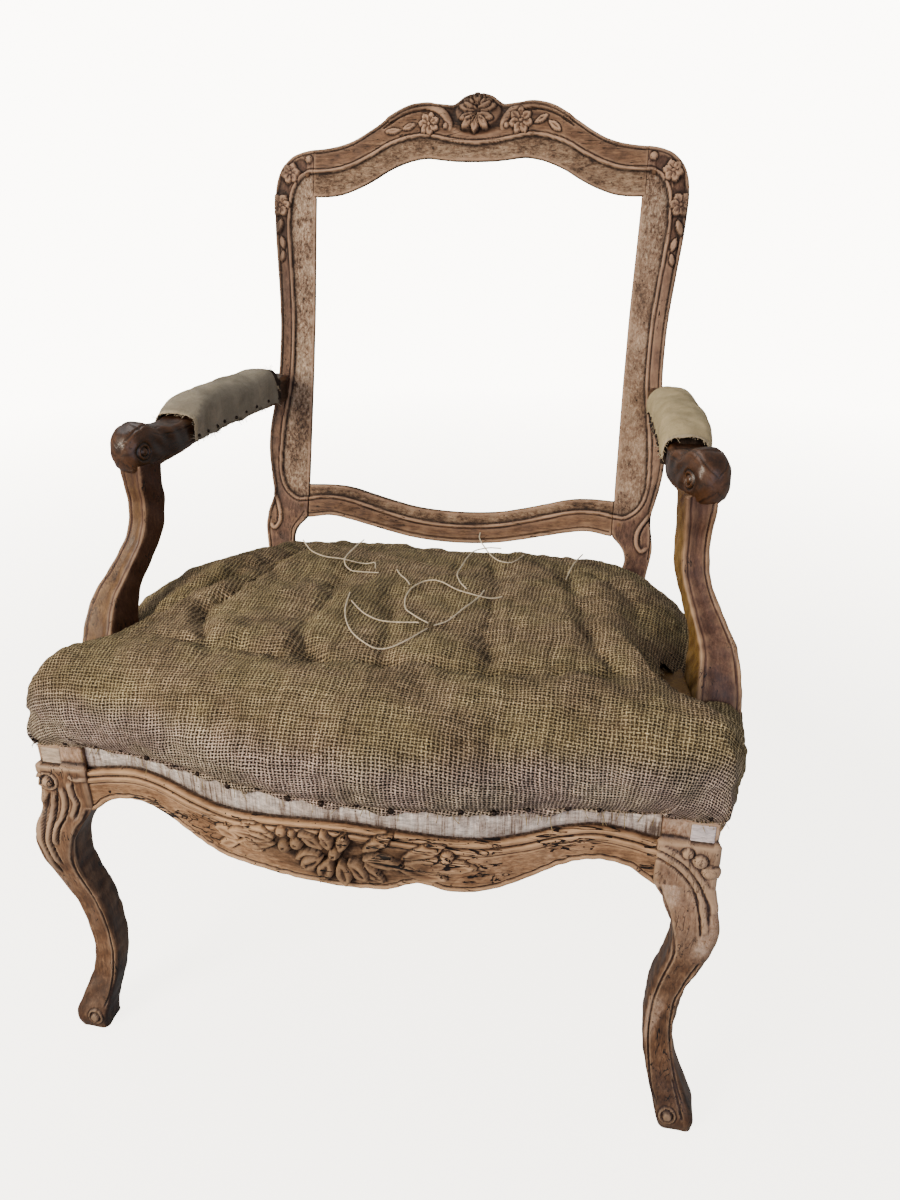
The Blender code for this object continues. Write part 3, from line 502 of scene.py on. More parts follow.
@dataclass
class Bar:
    """A bar of rounded rectangular section along a path, with relief on its faces.

    Args:
        centre: Middle of each section.
        across: Unit vector to the side, for all sections or for each.
        outward: Unit vector to the face that carries most of the work, likewise.
        half: Half widths across and outward, likewise.
        radius: Rounding of the arrises, likewise.
        counts: Samples over the front, each side and the back.
    """

    centre: Array
    across: Array | tuple[float, ...]
    outward: Array | tuple[float, ...]
    half: Array | tuple[float, float]
    radius: Array | float
    counts: tuple[int, int, int] = (36, 24, 10)

    def __post_init__(self) -> None:
        """Works out where each sample lies in its section."""
        rows = len(self.centre)
        self.across, self.outward = (np.broadcast_to(way, (rows, 3)) for way in (self.across, self.outward))
        self.half, self.radius = np.broadcast_to(self.half, (rows, 2)), np.broadcast_to(self.radius, rows)
        front, side, back = self.counts
        p = np.concatenate([np.linspace(-1, 1, front + 1)[:-1], np.ones(side)])
        p = np.concatenate([p, np.linspace(1, -1, back + 1)[:-1], -np.ones(side)])
        q = np.concatenate([np.ones(front), np.linspace(1, -1, side + 1)[:-1], -np.ones(back)])
        q = np.concatenate([q, np.linspace(-1, 1, side + 1)[:-1]])
        self.p, self.q = p, q
        a, b = self.half[:, :1] * p, self.half[:, 1:] * q
        r = np.minimum(self.radius[:, None], self.half.min(1)[:, None] * 0.98)
        ca = np.clip(a, -(self.half[:, :1] - r), self.half[:, :1] - r)
        cb = np.clip(b, -(self.half[:, 1:] - r), self.half[:, 1:] - r)
        da, db = a - ca, b - cb
        size = np.maximum(np.hypot(da, db), 1e-9)
        self.na, self.nb = da / size, db / size
        self.a, self.b = ca + self.na * r, cb + self.nb * r

    def place(self, lift: Array | float = 0.0) -> Array:
        """Points of the surface, raised by a height at each sample."""
        a, b = self.a + self.na * lift, self.b + self.nb * lift
        sideways = self.across[:, None] * a[..., None]
        return self.centre[:, None] + sideways + self.outward[:, None] * b[..., None]


def show(made: bpy.types.Object) -> None:
    """Puts an object into the scene."""
    bpy.context.scene.collection.objects.link(made)


def between(first: Array, second: Array, shares: Array) -> Array:
    """Points at these shares of the way from each row of the first to the same row of the second."""
    return first[:, None] * (1.0 - shares[:, None]) + second[:, None] * shares[:, None]


def mirror(points: Array, hand: Hand) -> Array:
    """The same points on the given side of the chair."""
    return points * np.array([float(hand.value), 1.0, 1.0])


# ---------------------------------------------------------------- finishes


def linear(code: str) -> tuple[float, float, float, float]:
    """A linear colour from an sRGB hex value such as #8a6b4e."""
    parts = [int(code[index : index + 2], 16) / 255 for index in (1, 3, 5)]
    turned = [part / 12.92 if part <= 0.04045 else ((part + 0.055) / 1.055) ** 2.4 for part in parts]
    return turned[0], turned[1], turned[2], 1.0


def add(
    tree: bpy.types.NodeTree, kind: str, inputs: dict[int | str, object] | None = None,
    stops: list[tuple[float, str]] | None = None, **settings: object
) -> bpy.types.Node:
    """Adds a node with its settings and links.

    Args:
        tree: The material's nodes.
        kind: Blender's name for the node.
        inputs: A value or another node's output for each named or numbered input.
        stops: Positions and colours of a colour ramp.
        settings: The node's own settings.

    Returns:
        The new node.
    """
    node = tree.nodes.new(kind)
    for key, value in settings.items():
        setattr(node, key, value)
    for key, value in (inputs or {}).items():
        if isinstance(value, bpy.types.NodeSocket):
            tree.links.new(value, node.inputs[key])
        else:
            node.inputs[key].default_value = value
    if stops:
        ramp = node.color_ramp
        while len(ramp.elements) < len(stops):
            ramp.elements.new(0.5)
        for element, (position, code) in zip(ramp.elements, stops):
            element.position = position
            element.color = linear(code)
    return node


def blank(name: str, rough: float, specular: float = 0.35) -> tuple[bpy.types.Material, bpy.types.NodeTree]:
    """A new material of this name with a plain shader.

    Args:
        name: Common name of the material.
        rough: Roughness.
        specular: Specular level.

    Returns:
        The material and its nodes.
    """
    made = bpy.data.materials.new(name)
    made.use_nodes = True
    shader = made.node_tree.nodes["Principled BSDF"]
    shader.inputs["Roughness"].default_value = rough
    shader.inputs["Specular IOR Level"].default_value = specular
    return made, made.node_tree


def connect(tree: bpy.types.NodeTree, **sockets: bpy.types.NodeSocket) -> None:
    """Links outputs to the shader's inputs; an underscore in a name stands for a space."""
    shader = tree.nodes["Principled BSDF"]
    for key, socket in sockets.items():
        tree.links.new(socket, shader.inputs[key.replace("_", " ")])


@dataclass(frozen=True)
class Paint:
    """Short names for the nodes that the finishes share; each gives the new node's output."""

    tree: bpy.types.NodeTree

    def place(self) -> bpy.types.NodeSocket:
        """Points of the object, in metres."""
        return add(self.tree, "ShaderNodeTexCoord").outputs["Object"]

    def mark(self, name: str) -> bpy.types.NodeSocket:
        """A mark that the mesh carries at its points."""
        return add(self.tree, "ShaderNodeAttribute", attribute_name=name).outputs["Fac"]

    def stretch(self, place: bpy.types.NodeSocket, scale: tuple[float, ...]) -> bpy.types.NodeSocket:
        """The points scaled along x, y and z."""
        return add(self.tree, "ShaderNodeMapping", {"Vector": place, "Scale": scale}).outputs[0]

    def noise(
        self, place: bpy.types.NodeSocket, scale: float, detail: float, rough: float = 0.5, twist: float = 0.0
    ) -> bpy.types.NodeSocket:
        """Cloudy pattern from 0 to 1, with so many to the metre."""
        values = {"Vector": place, "Scale": scale, "Detail": detail, "Roughness": rough, "Distortion": twist}
        return add(self.tree, "ShaderNodeTexNoise", values).outputs[0]

    def maths(self, operation: str, *values: object, clamp: bool = False) -> bpy.types.NodeSocket:
        """Sum on numbers."""
        inputs = dict(enumerate(values))
        return add(self.tree, "ShaderNodeMath", inputs, operation=operation, use_clamp=clamp).outputs[0]

    def vectors(self, operation: str, *values: object) -> bpy.types.NodeSocket:
        """Sum on vectors or colours."""
        return add(self.tree, "ShaderNodeVectorMath", dict(enumerate(values)), operation=operation).outputs[0]

    def scaled(self, colour: bpy.types.NodeSocket, share: object) -> bpy.types.NodeSocket:
        """The colour or vector times a number."""
        values = {0: colour, "Scale": share}
        return add(self.tree, "ShaderNodeVectorMath", values, operation="SCALE").outputs[0]

    def spread(
        self, value: bpy.types.NodeSocket, low: float, high: float, least: float, most: float
    ) -> bpy.types.NodeSocket:
        """The range from low to high, turned into the range from least to most."""
        return add(self.tree, "ShaderNodeMapRange", {0: value, 1: low, 2: high, 3: least, 4: most}).outputs[0]

    def ramp(self, value: bpy.types.NodeSocket, *stops: tuple[float, str]) -> bpy.types.NodeSocket:
        """Colours along a value."""
        return add(self.tree, "ShaderNodeValToRGB", {0: value}, stops=list(stops)).outputs[0]

    def mix(self, share: object, first: object, second: object, blend: str = "MIX") -> bpy.types.NodeSocket:
        """The second colour over the first."""
        values = {0: share, 6: first, 7: second}
        return add(self.tree, "ShaderNodeMix", values, data_type="RGBA", blend_type=blend).outputs[2]

    def bump(self, height: bpy.types.NodeSocket, deep: float, strength: float) -> bpy.types.NodeSocket:
        """Fine relief."""
        values = {"Height": height, "Distance": deep, "Strength": strength}
        return add(self.tree, "ShaderNodeBump", values).outputs[0]


@dataclass(frozen=True)
class OldWood:
    """Beech or walnut with most of its finish gone.

    Args:
        name: Common name and place.
        dark: Darkest of the grain.
        mid: Its usual colour.
        light: Its palest.
        dirt: What has gathered in the recesses, and the painted shade there and on faces turned from the
            light.
        bare: Rubbed arrises.
        zone: Dark and pale of the second surface, such as a tacking band.
        fibre: How much shorter the pattern is along x, y and z than across the grain.
        rough: Roughness of the open surface.
        specular: Strength of the gloss.
        holes: Share of the places that have a worm or tack hole, 0 for none.
        cracks: Half width of the drying cracks in the pattern, 0 for none.
        streaks: True where the second surface is streaked from top to bottom.
        zone_holes: The same share for the second surface.
        grit: Darkest and palest of the fine specks and scratches, as shares of the colour under them.
    """

    name: str
    dark: str
    mid: str
    light: str
    dirt: str
    bare: str
    zone: tuple[str, str, str]
    fibre: tuple[float, float, float] = (1.0, 1.0, 0.07)
    rough: float = 0.72
    specular: float = 0.3
    holes: float = 0.25
    cracks: float = 0.01
    streaks: bool = False
    zone_holes: float = 0.5
    grit: tuple[float, float] = (0.62, 1.3)

    def dress(self) -> bpy.types.Material:
        """Makes the material: sawn and scraped wood, its pores and cracks dark, its arrises rubbed pale, its
        recesses and shaded faces darkened with soiling and painted shade.
        """
        made, tree = blank(self.name, self.rough, self.specular)
        art = Paint(tree)
        place = art.place()
        run = art.stretch(place, self.fibre)
        grime_and_shade, worn, zone = (art.mark(name) for name in FLOATS)
        # growth rings and rays: 2 mm across the grain
        grain = art.noise(run, 480.0, 5.0, 0.7, 0.4)
        # handling and old finish: patches of about 30 mm
        patch = art.noise(place, 34.0, 6.0, 0.62)
        tones = zip((0.34, 0.5, 0.66), (self.dark, self.mid, self.light))
        wood = art.ramp(art.mix(0.5, grain, patch), *tones)
        # the second surface, streaked or blotched
        stretch = (1.0, 1.0, 0.05) if self.streaks else tuple(share**0.28 for share in self.fibre)
        old = art.noise(art.stretch(place, stretch), 330.0, 9.0, 0.84)
        uneven = art.maths("MULTIPLY_ADD", art.maths("SUBTRACT", patch, 0.5), 0.45, old)
        colour = art.mix(zone, wood, art.ramp(uneven, *zip((0.38, 0.46, 0.62), self.zone)))
        # bruises, scratches and grime of 1 to 4 mm that run with the grain
        half_run = art.stretch(place, tuple(share**0.5 for share in self.fibre))
        grit = art.noise(half_run, 420.0, 8.0, 0.78)
        colour = art.scaled(colour, art.spread(grit, 0.36, 0.64, *self.grit))
        rub = art.maths("MULTIPLY", art.maths("MULTIPLY", worn, patch), 1.5, clamp=True)
        colour = art.mix(rub, colour, linear(self.bare))
        # soiling and painted shade where the mark says, in specks of 3 mm
        speck = art.maths("ADD", art.noise(place, 330.0, 4.0, 0.6), 0.45)
        dirt_and_shade_spots = art.maths("MULTIPLY", grime_and_shade, speck, clamp=True)
        colour = art.mix(dirt_and_shade_spots, colour, linear(self.dirt))
        # drying cracks along the grain, 5 mm apart, in less than half of the surface
        apart = art.maths("ABSOLUTE", art.maths("SUBTRACT", art.noise(run, 150.0, 3.0, twist=0.8), 0.5))
        crack = art.maths("LESS_THAN", apart, max(self.cracks, 1e-4))
        few = art.maths("GREATER_THAN", art.noise(place, 22.0, 2.0), 0.52)
        crack = art.maths("SUBTRACT", art.maths("MULTIPLY", crack, few), zone, clamp=True)
        # worm and tack holes: 1.4 mm across, one to a cell of 9 mm at most
        cell = add(tree, "ShaderNodeTexVoronoi", {"Vector": place, "Scale": 110.0})
        pit = art.maths("LESS_THAN", cell.outputs["Distance"], 0.085)
        chance = add(tree, "ShaderNodeSeparateColor", {"Color": cell.outputs["Color"]}).outputs[0]
        wanted = add(tree, "ShaderNodeMix", {0: zone, 2: self.holes, 3: self.zone_holes}).outputs[0]
        pit = art.maths("MULTIPLY", pit, art.maths("LESS_THAN", chance, wanted))
        hurt = art.maths("MAXIMUM", pit, crack)
        colour = art.mix(hurt, colour, linear(self.dirt), "MULTIPLY")
        relief = art.maths("ADD", art.maths("MULTIPLY", hurt, -1.2), art.maths("MULTIPLY", grain, 0.25))
        relief = art.maths("MULTIPLY_ADD", art.maths("MULTIPLY", old, zone), 1.6, relief)
        gloss = art.spread(patch, 0.3, 0.7, self.rough - 0.1, min(self.rough + 0.12, 1.0))
        connect(tree, Base_Color=colour, Roughness=gloss, Normal=art.bump(relief, 0.0009, 0.7))
        return made


@dataclass(frozen=True)
class Weave:
    """Plain-woven cloth, drawn from the cloth's own coordinates.

    Args:
        name: Common name.
        pitch: From one thread to the next, in metres.
        gap: Level of the thread's round section under which the hole shows, 0 to 1.
        hole: What shows through the holes.
        shade: Painted shade on the lower sides of the yarn.
        yarn: The yarn.
        glint: Painted highlight on the crowns of the yarn, and its paler fibres.
        second: The yarn where the mark zone is 1, in the same three steps.
        deep: Height of the yarn.
        hairs: How far loose fibres wander over the weave.
        rough: Roughness.
        tone: How far single threads differ in tone.
        fuzz: How much loose fibre hides the weave where the mark zone is 0, and where it is 1.
        tints: Two casts that drift over the cloth, with mid grey for none.
        spacing: Pitch of the warp and of the weft, as shares of pitch.
    """

    name: str
    pitch: float
    gap: float
    hole: str
    shade: str
    yarn: str
    glint: str
    second: tuple[str, str, str]
    deep: float
    hairs: float = 0.5
    rough: float = 0.95
    tone: float = 0.14
    fuzz: tuple[float, float] = (0.0, 0.0)
    tints: tuple[str, str] = ("#bcbcbc", "#bcbcbc")
    spacing: tuple[float, float] = (1.0, 1.0)

    def dress(self) -> bpy.types.Material:
        """Makes the material: spun yarn over and under, uneven in thickness and colour, each thread with
        painted shade and a painted highlight.
        """
        made, tree = blank(self.name, self.rough, 0.15)
        art = Paint(tree)
        cloth = add(tree, "ShaderNodeAttribute", attribute_name="cloth").outputs["Vector"]
        cloth = art.vectors("MULTIPLY", cloth, (1.0 / self.spacing[0], 1.0 / self.spacing[1], 1.0))
        grime_and_shade, zone = art.mark("grime_and_shade"), art.mark("zone")
        # the threads wander by a third of the pitch over 40 mm
        drift = add(
            tree, "ShaderNodeTexNoise", {"Vector": cloth, "Scale": 26.0, "Detail": 2.0}
        ).outputs["Color"]
        drift = art.vectors("SUBTRACT", drift, (0.5, 0.5, 0.5))
        laid = art.vectors("ADD", cloth, art.scaled(drift, self.pitch * 2.0))
        turns = math.pi / (10.0 * self.pitch)
        wave = {
            "Vector": laid, "Scale": turns, "Distortion": 0.9, "Detail": 2.0,
            "Detail Scale": 0.6 / self.pitch / turns * 0.12
        }
        warp, weft = (
            add(tree, "ShaderNodeTexWave", wave, bands_direction=axis, wave_profile="SIN").outputs[1]
            for axis in "XY"
        )
        # the thread that goes under lies 28 % lower
        checks = {"Scale": 1.0 / self.pitch, "Color1": (1, 1, 1, 1), "Color2": (0.72, 0.72, 0.72, 1)}
        over = add(tree, "ShaderNodeTexChecker", {"Vector": laid, **checks}).outputs[0]
        warp = art.maths("MULTIPLY", warp, over)
        weft = art.maths("MULTIPLY", weft, art.maths("SUBTRACT", 1.72, over))
        height = art.maths("SMOOTH_MAX", warp, weft, 0.12)
        uneven = art.maths("SUBTRACT", art.noise(laid, 1.6 / self.pitch, 5.0, 0.7), 0.5)
        height = art.maths("MULTIPLY_ADD", uneven, self.hairs, height)
        # colours up each thread's section: the hole, painted shade on its sides, the yarn, and a painted
        # highlight on its crown
        steps = (self.gap, self.gap + 0.08, self.gap + 0.28, 0.96)
        first, second = (
            art.ramp(height, *zip(steps, (self.hole, *yarns)))
            for yarns in ((self.shade, self.yarn, self.glint), self.second)
        )
        colour = art.mix(zone, first, second)
        # loose fibre of half a millimetre lies over the threads in patches of 12 mm
        tints = zip((0.36, 0.46, 0.54, 0.64), (self.hole, self.shade, self.yarn, self.glint))
        down = art.ramp(art.noise(laid, 520.0, 6.0, 0.8, 3.0), *tints)
        patchy = art.spread(art.noise(cloth, 80.0, 3.0), 0.35, 0.65, 0.55, 1.3)
        cover = art.maths("MULTIPLY", art.spread(zone, 0.0, 1.0, *self.fuzz), patchy, clamp=True)
        colour = art.mix(cover, colour, down)
        # each thread keeps its own tone over 60 mm or so
        tones = []
        for stretch in ((0.62 / self.pitch, 16.0, 0.0), (16.0, 0.62 / self.pitch, 0.0)):
            tone = art.noise(art.stretch(laid, stretch), 1.0, 2.0)
            tones.append(art.spread(tone, 0.32, 0.68, 1.0 - self.tone, 1.0 + self.tone))
        colour = art.scaled(colour, art.maths("MULTIPLY", *tones))
        soil = art.spread(art.noise(cloth, 18.0, 6.0, 0.65), 0.3, 0.7, 0.62, 1.2)
        # painted shade, and some soiling, where the mark says
        dark = art.spread(grime_and_shade, 0.0, 1.0, 1.0, 0.45)
        colour = art.scaled(colour, art.maths("MULTIPLY", soil, dark))
        # dust and damp shift its cast over 60 mm; doubling brings mid grey back to no change
        cast = art.ramp(art.noise(cloth, 15.0, 3.0), (0.42, self.tints[0]), (0.58, self.tints[1]))
        colour = art.vectors("MULTIPLY", colour, art.scaled(cast, 2.0))
        connect(tree, Base_Color=colour, Normal=art.bump(height, self.deep, 0.9))
        return made


@dataclass(frozen=True)
class Fibre:
    """Spun or matted fibre without a weave, such as twine, hair or wadding.

    Args:
        name: Common name.
        shade: Its darker strands.
        light: Its paler ones.
        size: Width of a strand, in metres.
        stretch: Scale of the pattern along x, y and z.
        rough: Roughness.
    """

    name: str
    shade: str
    light: str
    size: float
    stretch: tuple[float, float, float] = (1.0, 1.0, 1.0)
    rough: float = 0.85

    def dress(self) -> bpy.types.Material:
        """Makes the material: fine strands of uneven colour."""
        made, tree = blank(self.name, self.rough, 0.25)
        art = Paint(tree)
        strand = art.noise(art.stretch(art.place(), self.stretch), 0.5 / self.size, 6.0, 0.75, 1.2)
        colour = art.ramp(strand, (0.35, self.shade), (0.65, self.light))
        connect(tree, Base_Color=colour, Normal=art.bump(strand, self.size, 0.8))
        return made


@dataclass(frozen=True)
class Iron:
    """Blued iron of a tack head, with paler scratches here and there."""

    name: str = "blued iron tack"

    def dress(self) -> bpy.types.Material:
        """Makes the material: dark oxide with bright scratches."""
        made, tree = blank(self.name, 0.55, 0.5)
        tree.nodes["Principled BSDF"].inputs["Metallic"].default_value = 1.0
        art = Paint(tree)
        rust = art.noise(art.place(), 900.0, 4.0)
        connect(tree, Base_Color=art.ramp(rust, (0.4, "#120d0b"), (0.6, "#4c423d")))
        return made


# ---------------------------------------------------------------- studio


@dataclass
class Studio:
    """Camera, lamps and a pale floor."""

    stand: tuple[float, float, float] = (0.211, -0.9219, 0.8244)
    yaw: float = 11.41
    pitch: float = 24.6
    roll: float = -0.27
    lens: float = 27.03
    floor_radius: float = 9.0
    glow: float = 11.0
    sky: float = 0.36

    def camera(self) -> None:
        """Stands the camera at eye height before the chair, a little to its right."""
        yaw, pitch, roll = (math.radians(angle) for angle in (self.yaw, self.pitch, self.roll))
        ahead = Vector((-math.sin(yaw) * math.cos(pitch), math.cos(yaw) * math.cos(pitch), -math.sin(pitch)))
        level = Vector((math.cos(yaw), math.sin(yaw), 0.0))
        upright = level.cross(ahead)
        right = math.cos(roll) * level + math.sin(roll) * upright
        top = -math.sin(roll) * level + math.cos(roll) * upright
        lens = bpy.data.cameras.new("camera")
        lens.sensor_fit = "AUTO"
        lens.sensor_width = 36.0
        lens.lens = self.lens
        made = bpy.data.objects.new("camera", lens)
        made.matrix_world = Matrix(
            [(right[i], top[i], -ahead[i], self.stand[i]) for i in range(3)] + [(0.0, 0.0, 0.0, 1.0)]
        )
        show(made)
        bpy.context.scene.camera = made

    def lamp(self, name: str, stand: Vector, size: float, power: float, tint: str) -> None:
        """A square soft lamp that looks at the seat.

        Args:
            name: Its name.
            stand: Where it hangs.
            size: Length of its side.
            power: In watts.
            tint: Its colour.
        """
        light = bpy.data.lights.new(name, "AREA")
        light.shape = "SQUARE"
        light.size = size
        light.energy = power
        light.color = linear(tint)[:3]
        made = bpy.data.objects.new(name, light)
        made.location = stand
        aim = Vector((0.0, 0.0, 0.4)) - stand
        made.rotation_euler = aim.to_track_quat("-Z", "Y").to_euler()
        show(made)

    def build(self) -> None:
        """Sets the floor, the wall behind it, the sky and the lamps."""
        turns = np.linspace(0.0, 2 * math.pi, 65)[:-1]
        round_line = np.stack([self.floor_radius * np.cos(turns), self.floor_radius * np.sin(turns)], -1)
        ground = [(0.0, 0.0, -0.0004)] + [(x, y, -0.0004) for x, y in round_line.tolist()]
        wall = [(x, y, z) for z in (-0.0004, 9.0) for x, y in round_line.tolist()]
        made, tree = blank("pale matt paper", 0.95, 0.0)
        art = Paint(tree)
        away = add(tree, "ShaderNodeVectorMath", {0: art.place()}, operation="LENGTH").outputs["Value"]
        far = art.spread(away, 0.7, 3.2, self.glow * 0.42, self.glow)
        own = art.spread(away, 0.7, 3.2, 0.92, 0.0)
        colour = add(tree, "ShaderNodeCombineColor", {0: own, 1: own, 2: own}).outputs[0]
        tree.nodes["Principled BSDF"].inputs["Emission Color"].default_value = linear("#fff9ee")
        connect(tree, Base_Color=colour, Emission_Strength=far)
        for name, points, faces in (
            ("floor", ground, [(0, i + 1, (i + 1) % 64 + 1) for i in range(64)]),
            ("wall", wall, [(i, 64 + i, 64 + (i + 1) % 64, (i + 1) % 64) for i in range(64)])
        ):
            mesh = bpy.data.meshes.new(name)
            mesh.from_pydata(points, [], faces)
            mesh.materials.append(made)
            paper = bpy.data.objects.new(name, mesh)
            paper.visible_diffuse = False
            paper.visible_glossy = False
            paper.visible_shadow = False
            show(paper)
        world = bpy.data.worlds.new("studio")
        world.use_nodes = True
        sky = world.node_tree.nodes["Background"]
        sky.inputs[0].default_value = linear("#fbf9f6")
        sky.inputs[1].default_value = self.sky
        bpy.context.scene.world = world
        self.lamp("key", Vector((-1.5, -1.9, 1.35)), 1.1, 74.0, "#fff1dd")
        self.lamp("fill", Vector((1.3, -2.1, 0.9)), 1.6, 15.0, "#f3ecff")
        self.lamp("top", Vector((-0.9, 0.4, 2.3)), 1.4, 17.0, "#ffffff")


# ---------------------------------------------------------------- back


@dataclass
class BackFrame:
    """Raked open back: two posts sawn in one with the rear legs, the crest rail and the lower rail."""

    rake: float = 0.3217
    z0: float = 0.467
    y0: float = 0.209
    thickness: float = 0.03
    arris: float = 0.0022
    pitch: float = 0.0011
    # height, inner edge and outer edge of a post
    edges: Table = (
        (0.0, 0.232, 0.264), (0.06, 0.225, 0.256), (0.13, 0.217, 0.249), (0.2, 0.21, 0.246),
        (0.25, 0.206, 0.246), (0.28, 0.2045, 0.2475), (0.34, 0.2045, 0.2495), (0.36, 0.2065, 0.251),
        (0.378, 0.212, 0.2528), (0.386, 0.2155, 0.254), (0.395, 0.2178, 0.2556), (0.402, 0.2175, 0.2568),
        (0.41, 0.215, 0.2577), (0.417, 0.21, 0.2577), (0.422, 0.2045, 0.257), (0.427, 0.2002, 0.2562),
        (0.431, 0.1998, 0.2555), (0.446, 0.1998, 0.2505), (0.457, 0.1998, 0.248), (0.468, 0.1998, 0.25),
        (0.482, 0.1995, 0.2535), (0.507, 0.1995, 0.257), (0.532, 0.1995, 0.257), (0.557, 0.1995, 0.2535),
        (0.6, 0.1995, 0.2475), (0.64, 0.2, 0.2465), (0.68, 0.2005, 0.248), (0.73, 0.202, 0.253),
        (0.775, 0.2035, 0.258), (0.8144, 0.2045, 0.26)
    )
    shoulder: Table = (
        (0.26, 0.8144), (0.2585, 0.83), (0.2545, 0.843), (0.248, 0.853), (0.239, 0.861), (0.228, 0.866),
        (0.218, 0.8685), (0.2085, 0.8698)
    )
    # height, front face and depth of a post under the raked part
    foot: Table = (
        (0.0, 0.262, 0.032), (0.06, 0.244, 0.033), (0.13, 0.217, 0.036), (0.2, 0.193, 0.039),
        (0.25, 0.1805, 0.04), (0.28, 0.178, 0.039), (0.36, 0.178, 0.037), (0.385, 0.1826, 0.034),
        (0.41, 0.1907, 0.03)
    )
    # distance from the middle, underside and top
    crest: Table = (
        (0.0, 0.8545, 0.93), (0.01, 0.8545, 0.9292), (0.018, 0.8548, 0.9264), (0.025, 0.855, 0.9218),
        (0.031, 0.8556, 0.9182), (0.04, 0.8565, 0.9186), (0.062, 0.8585, 0.9205), (0.082, 0.8555, 0.9185),
        (0.097, 0.8505, 0.9135), (0.112, 0.844, 0.9055), (0.127, 0.8355, 0.896), (0.142, 0.828, 0.887),
        (0.157, 0.822, 0.8795), (0.172, 0.8175, 0.8745), (0.188, 0.8155, 0.8715), (0.2082, 0.8152, 0.8695)
    )
    lower: Table = (
        (0.0, 0.406, 0.444), (0.03, 0.407, 0.445), (0.06, 0.41, 0.448), (0.09, 0.4155, 0.454),
        (0.11, 0.42, 0.459), (0.145, 0.427, 0.467), (0.17, 0.43, 0.469), (0.1992, 0.426, 0.468)
    )
    # how far the inner moulding lies from the opening, along the crest
    crest_margin: Table = ((0.0, 0.0205), (0.04, 0.0232), (0.07, 0.0262), (0.12, 0.03), (0.21, 0.029))
    wood: OldWood = OldWood(
        name="stripped beech of the back", dark="#3a2620", mid="#6b4e40", light="#927358", dirt="#22120a",
        bare="#bf9c80", zone=("#1c100a", "#7d614c", "#cab299"), rough=0.66, holes=0.06, zone_holes=0.95,
        grit=(0.46, 1.36), cracks=0.006
    )

    @property
    def slope(self) -> float:
        """Length on the raked face for each unit of height."""
        return math.hypot(1.0, self.rake)

    def outer_line(self) -> Array:
        """The outline from the left foot over the crest to the right one, as x and length up the face."""
        z = spaced(0.37, 0.8144, 0.006)
        edge = np.stack([read(self.edges, z)[:, 1], z], -1)
        x = spaced(0.204, 0.0, 0.005)
        top = np.stack([x, read(self.crest, x)[:, 1]], -1)
        half = np.concatenate([edge, rounded_path(list(self.shoulder), 0.004)[1:], top])
        line = np.concatenate([half, half[::-1][1:] * (-1.0, 1.0)])
        return line * (1.0, self.slope)

    def bead_line(self) -> Array:
        """The moulding round the opening, as a closed line of x and length up the face."""
        x = spaced(0.0, 0.165, 0.006)
        low = np.stack([x, read(self.lower, x)[:, 1] - 0.0175 + 0.02 * x * 0.6], -1)
        corner = [(0.1829, 0.4532), (0.2002, 0.45), (0.213, 0.449), (0.2225, 0.4535), (0.2305, 0.461)]
        corner += [(0.236, 0.4712), (0.2392, 0.486), (0.2398, 0.504)]
        z = spaced(0.52, 0.785, 0.006)
        post = np.stack([read(self.edges, z)[:, 1] - 0.0187, z], -1)
        turn = [(0.2395, 0.795), (0.2381, 0.814), (0.2335, 0.8278), (0.2253, 0.8389), (0.215, 0.844)]
        x = spaced(0.2, 0.0, 0.006)
        top = np.stack([x, read(self.crest, x)[:, 0] + read(self.crest_margin, x)[:, 0]], -1)
        half = np.concatenate([low, rounded_path(corner, 0.004), post, rounded_path(turn, 0.004), top])
        half[:, 1] *= self.slope
        return np.concatenate([half, half[::-1][1:-1] * (-1.0, 1.0)])

    def mouldings(self, x: Array, z: Array) -> tuple[Array, Array]:
        """Run mouldings of the whole back.

        Args:
            x: Places on the face.
            z: Their heights.

        Returns:
            Height over the face, and 1 where the surface is the rough rebate that the cover was tacked to.
        """
        up = z * self.slope
        rim, _ = path_distance(x, up, self.outer_line())
        loop = self.bead_line()
        bead, _ = path_distance(x, up, np.concatenate([loop, loop[:1]]))
        out = np.where(inside(x, up, loop), -bead, bead)
        height = -0.0024 * ease(-out, 0.001, 0.0026) + 0.0012 * dome(out, 0.0016)
        height -= 0.0009 * dome(out - 0.003, 0.001)
        height += 0.0007 * dome(rim - 0.0022, 0.0022) - 0.0012 * dome(rim - 0.005, 0.0011)
        zone = ease(-out, 0.0008, 0.002)
        places = np.stack([x, up], -1)
        height += 0.00025 * ripple(places, 0.03, 3)
        return height, zone

